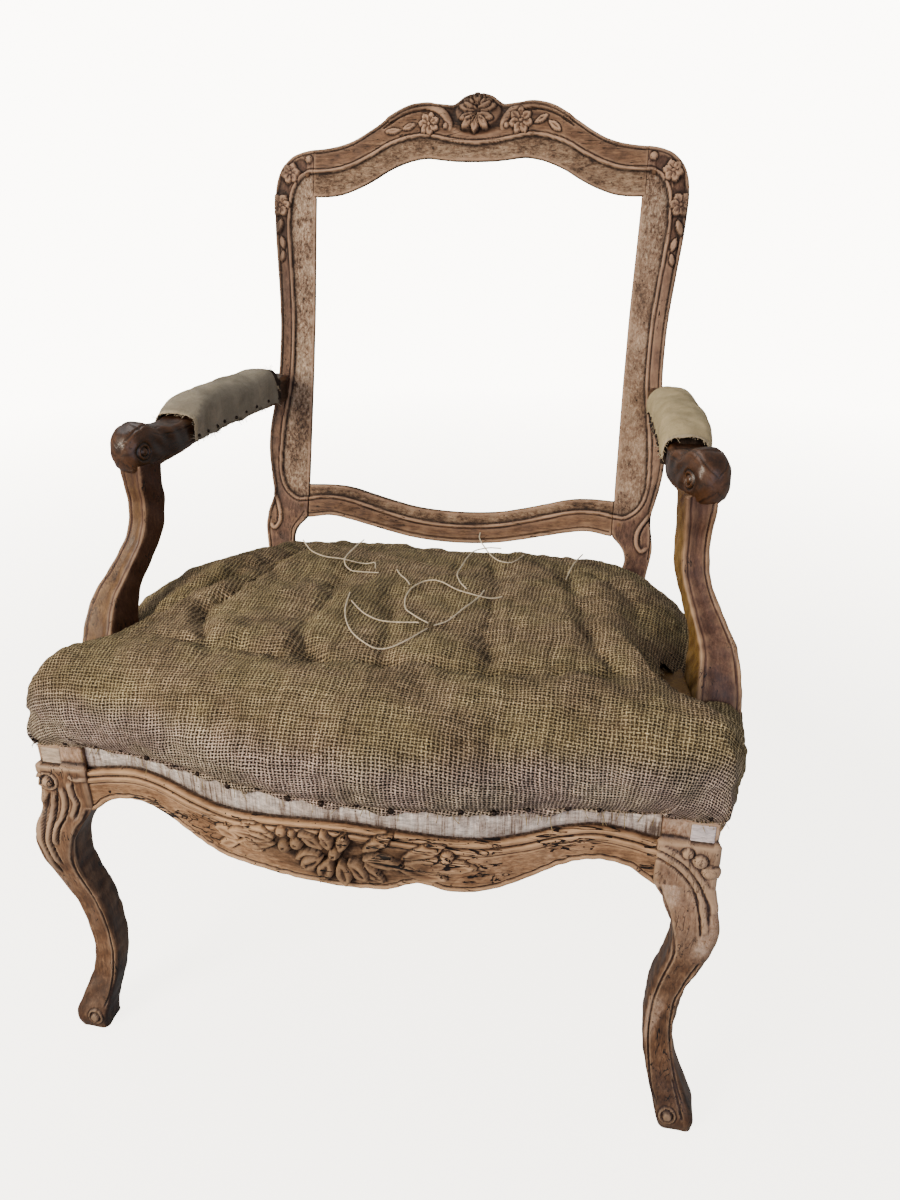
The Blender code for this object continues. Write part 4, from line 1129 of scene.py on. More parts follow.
    def crest_carving(self, x: Array, z: Array, ground: Array) -> Array:
        """Central boss, two daisies with their leaves, and the two curled lips beside the boss."""
        work = Carver(x, z, ground)
        sunk = ease(1.0 - np.hypot(x / 0.047, (z - 0.905) / 0.024), 0.0, 0.35)
        work.height -= 0.0026 * sunk
        for side, bend in ((-1.0, 0.0), (1.0, 0.0035)):
            lip = [(0.118, 0.8985), (0.1, 0.9092), (0.084, 0.915), (0.069, 0.9168), (0.0575, 0.915)]
            lip += [(0.0475 - bend, 0.9105), (0.04 - bend, 0.9045), (0.0358 - bend, 0.8975)]
            lip += [(0.0358 - bend, 0.8925), (0.0388 - bend, 0.89)]
            line = rounded_path(lip) * (side, 1.0)
            work.ridge(line, 0.0046, 0.0034, 0.08)
            work.ridge(
                rounded_path([(p - 0.0002, q - 0.0062) for p, q in lip[:5]]) * (side, 1.0), 0.0012, -0.0016
            )
            work.knob(side * (0.0398 - bend), 0.8935, 0.0032, 0.003)
        boss = np.hypot(x / 0.0288, (z - 0.91) / 0.019)
        work.height += 0.006 * np.sqrt(held(1.0 - boss**2))
        for turn, length, width in ((128, 0.015, 0.011), (95, 0.0165, 0.011), (58, 0.015, 0.011)):
            work.petal(-0.0003, 0.9145, turn, length, width, 0.0034, keep=0.9)
        for turn, length, width in (
            (172, 0.024, 0.01), (10, 0.024, 0.01), (150, 0.021, 0.01), (30, 0.021, 0.01)
        ):
            work.petal(-0.0005, 0.911, turn, length, width, 0.0036, keep=0.9)
        for turn, length, width in ((192, 0.021, 0.0088), (349, 0.022, 0.0088)):
            work.petal(-0.002, 0.9052, turn, length, width, 0.004, keep=0.9)
        for turn, length, width in ((217, 0.0205, 0.009), (322, 0.0205, 0.009), (269, 0.0185, 0.0092)):
            work.petal(-0.003, 0.9035, turn, length, width, 0.0058, cup=0.22, keep=0.8)
        work.knob(-0.0015, 0.9135, 0.0046, 0.003, 0.0024)
        work.flower(-0.0606, 0.8959, 0.0132, 7, 0.0042, 75.0)
        work.flower(0.0535, 0.898, 0.015, 7, 0.0042, 92.0)
        for x0, z0, turn, length, width in (
            (-0.0763, 0.8964, 200, 0.0185, 0.0068), (-0.0955, 0.8895, 186, 0.0205, 0.0064),
            (0.0697, 0.8948, 28, 0.0195, 0.0072), (0.0868, 0.8978, 325, 0.02, 0.008)
        ):
            work.petal(x0, z0, turn, length, width, 0.0034, cup=0.45)
        return work.height

    def shoulder_carving(self, x: Array, z: Array, ground: Array) -> Array:
        """Flowers and leaves that hang down the outer band of a post, on its right-hand form."""
        work = Carver(x, z, ground)
        chain = rounded_path([(0.226, 0.85), (0.2391, 0.8414), (0.249, 0.823), (0.251, 0.7442)], 0.006)
        near, _ = path_distance(x, z, chain)
        work.height -= 0.0014 * ease(0.0105 - near, 0.0, 0.0035)
        work.knob(0.2151, 0.8577, 0.0046, 0.0032)
        work.flower(0.2391, 0.8414, 0.0125, 6, 0.004, 110.0)
        work.flower(0.2512, 0.8045, 0.0138, 6, 0.0042, 58.0)
        for x0, z0, turn, length, width in (
            (0.2485, 0.7895, 288, 0.02, 0.0078), (0.249, 0.769, 254, 0.0165, 0.007),
            (0.2445, 0.752, 280, 0.015, 0.0062)
        ):
            work.petal(x0, z0, turn, length, width, 0.0036, cup=0.3)
        hook = [(0.2545, 0.479), (0.25, 0.464), (0.2445, 0.45), (0.2402, 0.4394), (0.2375, 0.4282)]
        hook += [(0.2384, 0.4179), (0.2439, 0.4108), (0.2487, 0.4128), (0.2494, 0.4172)]
        work.ridge(hook, 0.0027, 0.0026, 0.06)
        work.ridge([(p + 0.0042, q) for p, q in hook[1:6]], 0.0011, -0.0014, 0.1)
        work.ridge([(0.248, 0.448), (0.2535, 0.44), (0.2548, 0.425), (0.254, 0.402)], 0.0012, -0.0014)
        arc = [(0.2052, 0.433), (0.211, 0.424), (0.217, 0.417), (0.2212, 0.408), (0.2214, 0.395)]
        work.ridge(arc, 0.001, -0.001)
        return work.height

    def plank(
        self, shell: Shell, inner: Array, outer: Array, relief: tuple[Array, Array], arris: Array,
        deep: Array, place: Callable[[Array, Array, Array], Array], columns: int, chamfer: float = 0.8,
        hand: Hand = Hand.RIGHT
    ) -> None:
        """Adds a sawn board whose front carries relief.

        Args:
            shell: Piece that it goes into.
            inner: x and z of one edge, a row for each section.
            outer: x and z of the other edge.
            relief: Heights and zones over the front.
            arris: Rounding of the inner and the outer edge for each section.
            deep: Thickness at each section.
            place: Gives points from x, z and depth.
            columns: Samples across the front.
            chamfer: How steeply the back is cut away towards the first edge.
            hand: The side that it is mirrored to.
        """
        height, zone = relief
        u = np.linspace(0.0, 1.0, columns)
        width = np.hypot(*(outer - inner).T) * 1.02
        height = height - rounding(u * width[:, None], arris[:, :1])
        height = height - rounding((1.0 - u) * width[:, None], arris[:, 1:])
        front = between(inner, outer, u)
        side = np.array([0.1, 0.22, 0.4, 0.6, 0.8, 0.93])
        back = np.array([0.96, 0.8, 0.65, 0.5, 0.36])
        spread = between(inner, outer, back)
        sides = side * deep[:, None]
        slant = np.maximum(sides[:, ::-1] - 0.009, 0.0) * chamfer / width[:, None]
        bevel = inner[:, None] + (outer - inner)[:, None] * slant[..., None]
        flat = np.concatenate([front, np.repeat(outer[:, None], len(side), 1), spread, bevel], 1)
        depth = np.concatenate([-height, sides, np.repeat(deep[:, None], len(back), 1), sides[:, ::-1]], 1)
        points = place(flat[..., 0], flat[..., 1], depth)
        marks = shading(height)
        spots = front * (1.0, self.slope)
        rim, _ = path_distance(spots[..., 0], spots[..., 1], self.outer_line()[::2])
        # painted shade along the outer band of the back, uneven over its length
        band = ease(0.0105 - rim, 0.0, 0.004) * (front[..., 1] > 0.42)
        old = 0.5 + 0.5 * ripple(np.concatenate([spots, spots[..., :1] * 0], -1), 0.07, 5)
        marks["grime_and_shade"] = marks["grime_and_shade"] + band * np.clip(0.26 + 0.3 * old, 0, 0.7)
        dusk = 0.3 * (hand is Hand.LEFT) * ease(front[..., 1], 0.44, 0.5)
        dusk = dusk * ease(0.86 - front[..., 1], 0.0, 0.08)
        crown = np.hypot(front[..., 0] / 0.05, (front[..., 1] - 0.913) / 0.022)
        dusk = dusk + 0.36 * ease(1.0 - crown, 0.0, 0.4) * ease(front[..., 1], 0.896, 0.906)
        deepen(marks, "grime_and_shade", dusk * (1.0 - zone))
        rubbed = 0.3 * (front[..., 0] > 0.2) * (hand is Hand.RIGHT) * ease(0.8 - front[..., 1], 0.0, 0.1)
        deepen(marks, "worn", rubbed * ease(front[..., 1], 0.44, 0.5))
        marks = widened({**marks, "zone": zone}, flat.shape[1] - columns, 0.6)
        shell.solid(mirror(points, hand), marks)

    def raked(self, x: Array, z: Array, depth: Array) -> Array:
        """Points behind the back's front face, measured square to it."""
        y = self.y0 + self.rake * (z - self.z0) + depth / self.slope
        return np.stack([x, y, z - depth * self.rake / self.slope], -1)

    def post_place(self, x: Array, z: Array, depth: Array) -> Array:
        """Points of a post: upright in its leg and raked above the seat."""
        tilt = np.interp(z, (0.385, 0.41), (0.0, 1.0))
        y0 = self.y0 + self.rake * (z - self.z0)
        low = np.interp(z.ravel(), *self.fine_foot()).reshape(z.shape)
        y = np.where(z > 0.41, y0, low) + depth * (1.0 - tilt + tilt / self.slope)
        return np.stack([x, y, z - depth * tilt * self.rake / self.slope], -1)

    def fine_foot(self) -> tuple[Array, Array]:
        """Heights and front faces of the leg part of a post, close enough together for a straight reading."""
        z = spaced(0.0, 0.41, 0.005)
        return z, read(self.foot, z)[:, 0]

    def post(self, hand: Hand, finish: bpy.types.Material) -> None:
        """Builds one post."""
        z = np.concatenate([spaced(0.0, 0.365, 0.006)[:-1], spaced(0.365, 0.8144, self.pitch)])
        edge = read(self.edges, z)
        tuck = 0.007 * (hand is Hand.RIGHT)
        edge[:, 1] -= tuck * ease(z, 0.34, 0.38) * (1.0 - ease(z, 0.43, 0.465))
        inner, outer = np.stack([edge[:, 0], z], -1), np.stack([edge[:, 1], z], -1)
        turn = np.linspace(0.0, 1.0, 50)[1:, None]
        bend = along(np.array(self.shoulder), turn[:, 0] * (len(self.shoulder) - 1))
        inner = np.concatenate([inner, (1 - turn) * inner[-1] + turn * (0.2085, 0.8149)])
        outer = np.concatenate([outer, bend])
        columns = 46
        spots = between(inner, outer, np.linspace(0.0, 1.0, columns))
        x, level = spots[..., 0], spots[..., 1]
        height, zone = self.mouldings(x, level)
        low = ease(level, 0.355, 0.375)
        height, zone = height * low, zone * low
        moved = x + tuck * (1.0 - ease(level, 0.43, 0.465))
        height = self.shoulder_carving(moved, level, height)
        height -= 0.0009 * held(1.0 - (x - 0.2085) / 0.0008) * (level > 0.816)
        joint = (inner[:, 1] > 0.428) & (inner[:, 1] < 0.4665)
        arris = np.stack([np.where(joint, 0.0006, self.arris), np.full(len(inner), 0.003)], -1)
        deep = np.interp(inner[:, 1], [row[0] for row in self.foot], [row[2] for row in self.foot])
        deep = np.where(inner[:, 1] > 0.41, self.thickness, deep)
        shell = Shell(f"{hand.word}_rear_post")
        self.plank(shell, inner, outer, (height, zone), arris, deep, self.post_place, columns, hand=hand)
        shell.piece(finish, [f"{hand.word}_back_post"])

    def rail(
        self, name: str, node: str, table: Table, setback: float, deep: float, finish: bpy.types.Material
    ) -> None:
        """Builds a rail between the posts.

        Args:
            name: Its name.
            node: The node that it stands for.
            table: Distance from the middle, underside and top.
            setback: How far its face lies behind the posts'.
            deep: Its thickness.
            finish: Its material.
        """
        end = table[-1][0] + 0.0006
        x = spaced(-end, end, self.pitch)
        edge = read(table, np.minimum(np.abs(x), table[-1][0]))
        inner, outer = np.stack([x, edge[:, 0]], -1), np.stack([x, edge[:, 1]], -1)
        columns = int(0.8 * (edge[:, 1] - edge[:, 0]).max() / 0.001)
        spots = between(inner, outer, np.linspace(0.0, 1.0, columns))
        across, level = spots[..., 0], spots[..., 1]
        height, zone = self.mouldings(across, level)
        if name == "crest":
            height = self.crest_carving(across, level, height)
        else:
            line = np.stack([x, edge[:, 0] + 0.0052], -1)[::6]
            gap, _ = path_distance(across, level, line)
            height -= 0.0009 * dome(gap, 0.001)
        height -= 0.0009 * held(1.0 - (end - np.abs(across)) / 0.0008) + setback
        arris = np.tile([0.0022, 0.003], (len(x), 1))
        thick = np.full(len(x), deep + setback)
        shell = Shell(name)
        self.plank(shell, inner, outer, (height, zone), arris, thick, self.raked, columns)
        shell.piece(finish, [node])

    def build(self) -> None:
        """Builds and dresses the back."""
        upright = self.wood.dress()
        for hand in Hand:
            self.post(hand, upright)
        level = replace(
            self.wood, name="stripped beech of the rails", fibre=(0.07, 1.0, 1.0), mid="#75563f",
            zone=("#1a0f09", "#6d523c", "#b0957a")
        ).dress()
        self.rail("crest", "crest_rail", self.crest, 0.0, self.thickness, level)
        self.rail("lower_rail", "lower_back_rail", self.lower, 0.002, 0.026, level)


# ---------------------------------------------------------------- seat frame


@dataclass
class SeatFrame:
    """Seat rails and cabriole front legs."""

    joint_x: float = 0.2629
    rail_depth: float = 0.032
    step: float = 0.0012  # between the sections of the front rail
    # distance from the middle, face of the tacking band, its lower edge and the rail's lower edge
    front: Table = (
        (0.0, -0.292, 0.333, 0.27), (0.03, -0.291, 0.331, 0.2675), (0.06, -0.2885, 0.3275, 0.2675),
        (0.09, -0.284, 0.324, 0.269), (0.12, -0.278, 0.3225, 0.271), (0.15, -0.27, 0.326, 0.28),
        (0.18, -0.263, 0.333, 0.295), (0.21, -0.2585, 0.337, 0.304), (0.24, -0.257, 0.3335, 0.299),
        (0.2629, -0.2575, 0.3295, 0.284)
    )
    side: Table = (
        (-0.2147, 0.3085), (-0.18, 0.324), (-0.14, 0.333), (-0.1, 0.331), (-0.05, 0.319), (0.01, 0.301),
        (0.07, 0.279), (0.125, 0.2605), (0.1777, 0.248)
    )
    # height, middle x, middle y, width and depth of a front leg
    leg: Table = (
        (0.0, 0.306, -0.261, 0.031, 0.031), (0.014, 0.305, -0.26, 0.036, 0.036),
        (0.035, 0.298, -0.253, 0.033, 0.033), (0.06, 0.289, -0.244, 0.029, 0.029),
        (0.09, 0.284, -0.2395, 0.028, 0.028), (0.12, 0.284, -0.2395, 0.029, 0.029),
        (0.16, 0.2875, -0.2425, 0.031, 0.031), (0.19, 0.295, -0.248, 0.033, 0.033),
        (0.22, 0.3005, -0.2525, 0.035, 0.035), (0.25, 0.3005, -0.2525, 0.039, 0.039),
        (0.275, 0.2925, -0.245, 0.044, 0.044), (0.29, 0.2866, -0.2385, 0.0468, 0.047),
        (0.32, 0.2866, -0.2385, 0.0468, 0.047), (0.352, 0.2866, -0.2385, 0.0468, 0.047)
    )
    lean: dict[Hand, float] = field(default_factory=lambda: {Hand.LEFT: 0.0075, Hand.RIGHT: 0.002})
    rail_wood: OldWood = OldWood(
        name="wormed beech of the seat rails", dark="#5e4028", mid="#967253", light="#bd9a78", dirt="#24140a",
        bare="#cba57e", zone=("#6f5e52", "#c9b8ac", "#f4ece4"), fibre=(0.07, 1.0, 1.0), rough=0.62, holes=0.6,
        cracks=0.026, streaks=True, zone_holes=0.3, grit=(0.46, 1.36)
    )
    leg_wood: OldWood = OldWood(
        name="stained beech of the legs", dark="#2c1a0e", mid="#68482f", light="#967558", dirt="#220d05",
        bare="#b99a7c", zone=("#7b5a45", "#ab8b72", "#c9ae98"), fibre=(1.0, 1.0, 0.09), rough=0.5,
        specular=0.45, holes=0.1, cracks=0.012
    )

    def rail_carving(self, x: Array, z: Array) -> Array:
        """Leaves, knobs and bulging petals in the middle of the front rail, a little to the left."""
        work = Carver(x, z, np.zeros(x.shape))
        work.height -= 0.0022 * ease(1.0 - np.hypot((x + 0.008) / 0.056, (z - 0.301) / 0.021), 0.0, 0.3)
        for x0, z0, turn, length, width, rise, lobes in (
            (-0.1, 0.299, 165, 0.026, 0.015, 0.0046, 3), (-0.101, 0.294, 198, 0.022, 0.012, 0.004, 2),
            (-0.096, 0.297, 345, 0.02, 0.01, 0.0036, 2), (-0.064, 0.309, 165, 0.034, 0.013, 0.004, 3),
            (-0.064, 0.302, 190, 0.04, 0.013, 0.0038, 4), (-0.066, 0.306, 178, 0.044, 0.012, 0.005, 4),
            (0.05, 0.306, 22, 0.04, 0.015, 0.0036, 3), (0.044, 0.297, 345, 0.046, 0.015, 0.0038, 4),
            (0.052, 0.302, 356, 0.062, 0.018, 0.0048, 5), (0.016, 0.311, 34, 0.032, 0.013, 0.005, 3),
            (0.016, 0.303, 352, 0.036, 0.014, 0.0056, 3), (0.012, 0.296, 325, 0.028, 0.012, 0.005, 2),
            (-0.018, 0.308, 150, 0.026, 0.013, 0.0056, 2), (-0.012, 0.307, 112, 0.021, 0.012, 0.0064, 2),
            (-0.004, 0.307, 74, 0.02, 0.012, 0.0064, 2), (-0.022, 0.3, 196, 0.024, 0.012, 0.0056, 2),
            (-0.02, 0.298, 214, 0.025, 0.015, 0.0072, 0), (0.003, 0.298, 316, 0.024, 0.014, 0.0072, 0),
            (-0.013, 0.298, 250, 0.025, 0.015, 0.008, 0), (-0.004, 0.298, 284, 0.025, 0.015, 0.008, 0)
        ):
            work.petal(x0, z0, turn, length, width, rise, lobes)
        for x0, z0, radius, rise, hole in (
            (-0.0573, 0.3174, 0.0052, 0.0052, 0.0012), (-0.0558, 0.3021, 0.0062, 0.0064, 0.0014),
            (-0.044, 0.308, 0.0062, 0.0066, 0.0015), (-0.0475, 0.317, 0.004, 0.0046, 0.0),
            (-0.009, 0.304, 0.0052, 0.0082, 0.0014), (0.0884, 0.3095, 0.0058, 0.005, 0.0012)
        ):
            work.knob(x0, z0, radius, rise, hole)
        return work.height

    @staticmethod
    def levels(band: Array, low: Array, field_rows: int) -> Array:
        """Heights of the rows down a rail's face, close together at its mouldings."""
        over = np.linspace(0.0, 1.0, 12)
        top = (RAIL_TOP - 0.0008) * (1 - over) + (band[:, None] + 0.0012) * over
        work = band[:, None] - np.concatenate(
            [[-0.0006, -0.0002, 0.0002, 0.0006, 0.0011], spaced(0.0016, 0.015, 0.0006)]
        )
        below = low[:, None] + spaced(0.0078, 0.0, 0.0007)
        share = np.linspace(0.0, 1.0, field_rows)[1:-1]
        plain = work[:, -1:] * (1 - share) + below[:, :1] * share
        return np.concatenate([top, work, plain, below], 1)

    def moulded(
        self, shell: Shell, plan: Array, normal: Array, band: Array, low: Array, carving: Array | None = None,
        rows: int = 46
    ) -> None:
        """Adds a seat rail with a tacking band, two beads, a plain field and a bead along its lower edge.

        Args:
            shell: Piece that it goes into.
            plan: x and y of the band's face, a row for each section.
            normal: Outward direction in plan.
            band: Lower edge of the band.
            low: Lower edge of the rail.
            carving: Further height over the face.
            rows: Samples down its plain field.
        """
        z = self.levels(band, low, rows)
        lean_band = 1.0 / np.hypot(1.0, np.gradient(band, np.arange(len(band)) * self.step))[:, None]
        lean_low = 1.0 / np.hypot(1.0, np.gradient(low, np.arange(len(low)) * self.step))[:, None]
        d, e = (band[:, None] - z) * lean_band, (z - low[:, None]) * lean_low
        height = 0.0058 * ease(d, -0.0006, 0.0016) + 0.0016 * ease(d, 0.005, 0.009)
        height += 0.0014 * dome(d - 0.003, 0.0026) - 0.0015 * dome(d - 0.0063, 0.001)
        height += 0.0011 * dome(d - 0.0096, 0.0028) - 0.0014 * dome(d - 0.0132, 0.001)
        height += 0.0009 * dome(e - 0.0026, 0.0026) - 0.0012 * dome(e - 0.0062, 0.0009)
        flat = np.stack([plan[:, 0][:, None] + 0 * z, plan[:, 1][:, None] + 0 * z, z], -1)
        height += 0.0004 * ripple(flat, 0.045, 8) * ease(d, 0, 0.01)
        if carving is not None:
            height += carving * ease(e, 0.0, 0.004)
        height -= rounding(e, 0.0034) + rounding(z * 0 + (RAIL_TOP - z), 0.0016)
        marks = shading(height)
        if carving is not None:
            # the rail darker round its carving
            darker_round_carving = ease(1.0 - np.hypot((flat[..., 0] + 0.004) / 0.098, (z - 0.299) / 0.03), 0.0, 0.35)
            marks["grime_and_shade"] = np.clip(marks["grime_and_shade"] * (1 + 0.4 * darker_round_carving) + 0.56 * darker_round_carving, 0, 0.97)
        marks["zone"] = ease(-d, 0.0, 0.0012)
        x = plan[:, :1] + normal[:, :1] * height
        y = plan[:, 1:] + normal[:, 1:] * height
        front = np.stack([x, y, z], -1)
        inward = np.array([0.004, 0.012, 0.022, self.rail_depth - 0.002])
        under = plan[:, None] - normal[:, None] * inward[:, None]
        under = np.concatenate([under, np.broadcast_to(low[:, None, None] + 0.0006, (len(low), 4, 1))], -1)
        rise = np.array([0.002, 0.02, 0.04, 0.058])
        behind = np.repeat((plan - normal * self.rail_depth)[:, None], 4, 1)
        level = np.minimum(low[:, None] + rise, RAIL_TOP - 0.002)
        behind = np.concatenate([behind, level[..., None]], -1)
        over = plan[:, None] - normal[:, None] * inward[::-1][:, None]
        over = np.concatenate([over, np.full((len(low), 4, 1), RAIL_TOP)], -1)
        points = np.concatenate([front, under, behind, over], 1)
        extra = points.shape[1] - z.shape[1]
        marks = widened(marks, extra, 0.5)
        shell.solid(points, marks)

    @staticmethod
    def leg_carving(work: Carver, hand: Hand) -> None:
        """Cuts a front leg's edge groove, its knee and its scrolled toe.

        Args:
            work: The leg's face.
            hand: Which leg; the right one has berries and strands on its knee, and the left one leaves.
        """
        inner = [(0.266, 0.29), (0.2775, 0.268), (0.2838, 0.2477), (0.2868, 0.2156), (0.2805, 0.1745)]
        inner += [(0.276, 0.1381), (0.2755, 0.0921), (0.281, 0.045), (0.289, 0.025)]
        work.ridge(inner, 0.0012, -0.0017, 0.03)
        if hand is Hand.RIGHT:
            first = rounded_path(
                [(0.2632, 0.3212), (0.2826, 0.3085), (0.2975, 0.29), (0.305, 0.268), (0.3082, 0.248)]
            )
            second = rounded_path(
                [(0.2632, 0.328), (0.2814, 0.3192), (0.2944, 0.305), (0.307, 0.2855), (0.312, 0.268)]
            )
            work.ridge(first, 0.003, 0.0016, 0.05)
            work.ridge(first - (0.003, 0.0036), 0.0012, -0.0018, 0.05)
            work.ridge(second, 0.003, 0.0018, 0.05)
            middle = [(0.2632, 0.3246), (0.282, 0.3138), (0.296, 0.2975), (0.306, 0.2768), (0.3101, 0.258)]
            work.ridge(middle, 0.0012, -0.0016, 0.05)
            for x0, z0, size in ((0.286, 0.325, 0.0048), (0.2965, 0.318, 0.0062), (0.305, 0.308, 0.0064)):
                work.knob(x0, z0, size, 0.0042)
            outer = [(0.31, 0.21), (0.304, 0.1883), (0.2985, 0.1609), (0.2945, 0.142), (0.295, 0.0968)]
            work.ridge([*outer, (0.3036, 0.0515), (0.312, 0.03)], 0.0012, -0.0015, 0.05)
            work.ridge([(0.301, 0.052), (0.3085, 0.03), (0.313, 0.015)], 0.0011, -0.0014, 0.1)
        else:
            for line, rise in (
                ([(0.304, 0.306), (0.3105, 0.29), (0.312, 0.2618), (0.3085, 0.2309), (0.3045, 0.2)], 0.0028),
                ([(0.2965, 0.308), (0.3005, 0.29), (0.303, 0.27), (0.3035, 0.245), (0.3, 0.215)], 0.0024),
                ([(0.29, 0.313), (0.288, 0.299), (0.2905, 0.283), (0.296, 0.266), (0.2975, 0.245)], 0.0022),
                ([(0.279, 0.32), (0.28, 0.305), (0.277, 0.293), (0.283, 0.276)], 0.0018)
            ):
                path = rounded_path(line)
                work.ridge(path, 0.003, rise, 0.15)
                work.ridge(path - (0.0036, 0.0), 0.0013, -0.002, 0.15)
            work.ridge([(0.2632, 0.323), (0.272, 0.3215), (0.279, 0.325)], 0.0022, 0.0014, 0.1)
            work.knob(0.3013, 0.3163, 0.0102, 0.0034)
            work.ring(0.3013, 0.3163, 0.82 * 0.0082, 0.0016, -0.0034)
            work.knob(0.3013, 0.3163, 0.0048, 0.0036)
        toe = (0.2985, 0.016) if hand is Hand.LEFT else (0.2985, 0.018)
        work.knob(*toe, 0.0082, 0.0026)
        work.ring(*toe, 0.0052, 0.0013, -0.003)

    def front_leg(self, hand: Hand, finish: bpy.types.Material) -> None:
        """Builds a cabriole leg with its knee, its scrolled toe and the square block at the rails."""
        z = spaced(0.0, 0.352, 0.0014)
        rows = read(self.leg, z)
        lean = self.lean[hand] * np.sqrt(np.sin(math.pi * held(z / 0.275)).clip(0))
        centre = np.stack([rows[:, 0] - lean * hand.value, rows[:, 1], z], -1)
        half = rows[:, 2:] / 2
        block = ease(z, 0.275, 0.296)
        radius = (0.2 * rows[:, 2]) * (1 - block) + 0.0022 * block
        bar = Bar(centre, X_WAY, -Y_WAY, half, radius, (44, 26, 12))
        flat = bar.place()
        x, level = flat[..., 0] + lean[:, None] * hand.value, flat[..., 2]
        facing = ease(bar.nb, 0.35, 0.85)
        base = 0.0062 * ease(0.3345 - level, -0.0006, 0.0018) * ease(level, 0.19, 0.27)
        work = Carver(x, level, 0.0003 * ripple(flat, 0.022, 11 + hand.value))
        self.leg_carving(work, hand)
        patch = (np.abs(x - 0.29665) < 0.01) & (np.abs(level - 0.3415) < 0.009)
        lift = facing * (base + work.height - 0.0022 * patch) + (1 - facing) * 0.0003 * ripple(flat, 0.02, 4)
        points = bar.place(lift)
        marks = shading(lift * 1.2, 6, 40)
        # painted shade on the inner faces, between the legs; below, the leg darker towards its foot
        deepen(marks, "grime_and_shade", 0.55 * ease(-bar.na, 0.5, 0.95) * (level < 0.3))
        deepen(marks, "grime_and_shade", 0.5 * ease(0.085 - level, 0.0, 0.045))
        rubbed = ripple(np.stack([x, level * 0.45], -1), 0.045, 21 if hand is Hand.LEFT else 24) * facing
        bare = 1.0 if hand is Hand.RIGHT else 0.7
        rubbed = bare * ease(rubbed, 0.2, 1.2) * (level < 0.29) * ease(level, 0.05, 0.09)
        rubbed = rubbed + 0.35 * (hand is Hand.RIGHT) * facing * ease(level, 0.2, 0.25) * (level < 0.334)
        marks["zone"] = rubbed + (level > 0.334) * facing
        shell = Shell(f"{hand.word}_cabriole_leg")
        shell.solid(mirror(points, hand), marks)
        shell.piece(finish, [f"{hand.word}_front_leg"])

    def build(self) -> None:
        """Builds and dresses the rails and the front legs."""
        tan, brown = self.rail_wood.dress(), self.leg_wood.dress()
        x = spaced(-self.joint_x, self.joint_x, self.step)
        face, band, low = read(self.front, np.abs(x)).T
        # the carved flowers hang under the edge, and the scallop beside them is cut higher
        flowers, scallop = np.exp(-(((x - 0.063) / 0.019) ** 2)), np.exp(-(((x + 0.004) / 0.018) ** 2))
        low = low + 0.0105 * flowers - 0.0035 * scallop
        low = low + 0.0003 * ripple(np.stack([x, 0 * x], -1), 0.017, 9)
        z = self.levels(band, low, 46)
        carving = self.rail_carving(x[:, None] + 0 * z, z)
        shell = Shell("front_rail")
        self.moulded(shell, np.stack([x, face], -1), np.tile([0.0, -1.0], (len(x), 1)), band, low, carving)
        shell.piece(tan, ["front_seat_rail"])
        side_wood = replace(
            self.rail_wood, name="wormed beech of the side rails", fibre=(1.0, 0.07, 1.0)
        ).dress()
        for hand in Hand:
            y = spaced(self.side[0][0], self.side[-1][0], 0.004)
            (outer,) = read(self.side, y).T
            plan = np.stack([outer - 0.006, y], -1)
            shell = Shell(f"{hand.word}_rail")
            normal = np.tile([1.0, 0.0], (len(y), 1))
            flat = np.full(len(y), 0.33)
            self.moulded(shell, plan, normal, flat, flat - 0.0415, rows=12)
            shell.points[0] = mirror(shell.points[0], hand)
            shell.piece(side_wood, [f"{hand.word}_side_rail"])
            self.front_leg(hand, brown)
        x = spaced(-0.2042, 0.2042, 0.006)
        centre = np.stack([x, 0 * x + 0.197, 0 * x + 0.321], -1)
        bar = Bar(centre, Z_WAY, Y_WAY, (0.031, 0.015), 0.002, (20, 10, 20))
        shell = Shell("rear_rail")
        lift = 0.0004 * ripple(bar.place(), 0.03, 2)
        shell.solid(bar.place(lift), {"grime_and_shade": 0.3 + 0 * lift})
        shell.piece(tan, ["rear_seat_rail"])


# ---------------------------------------------------------------- arms


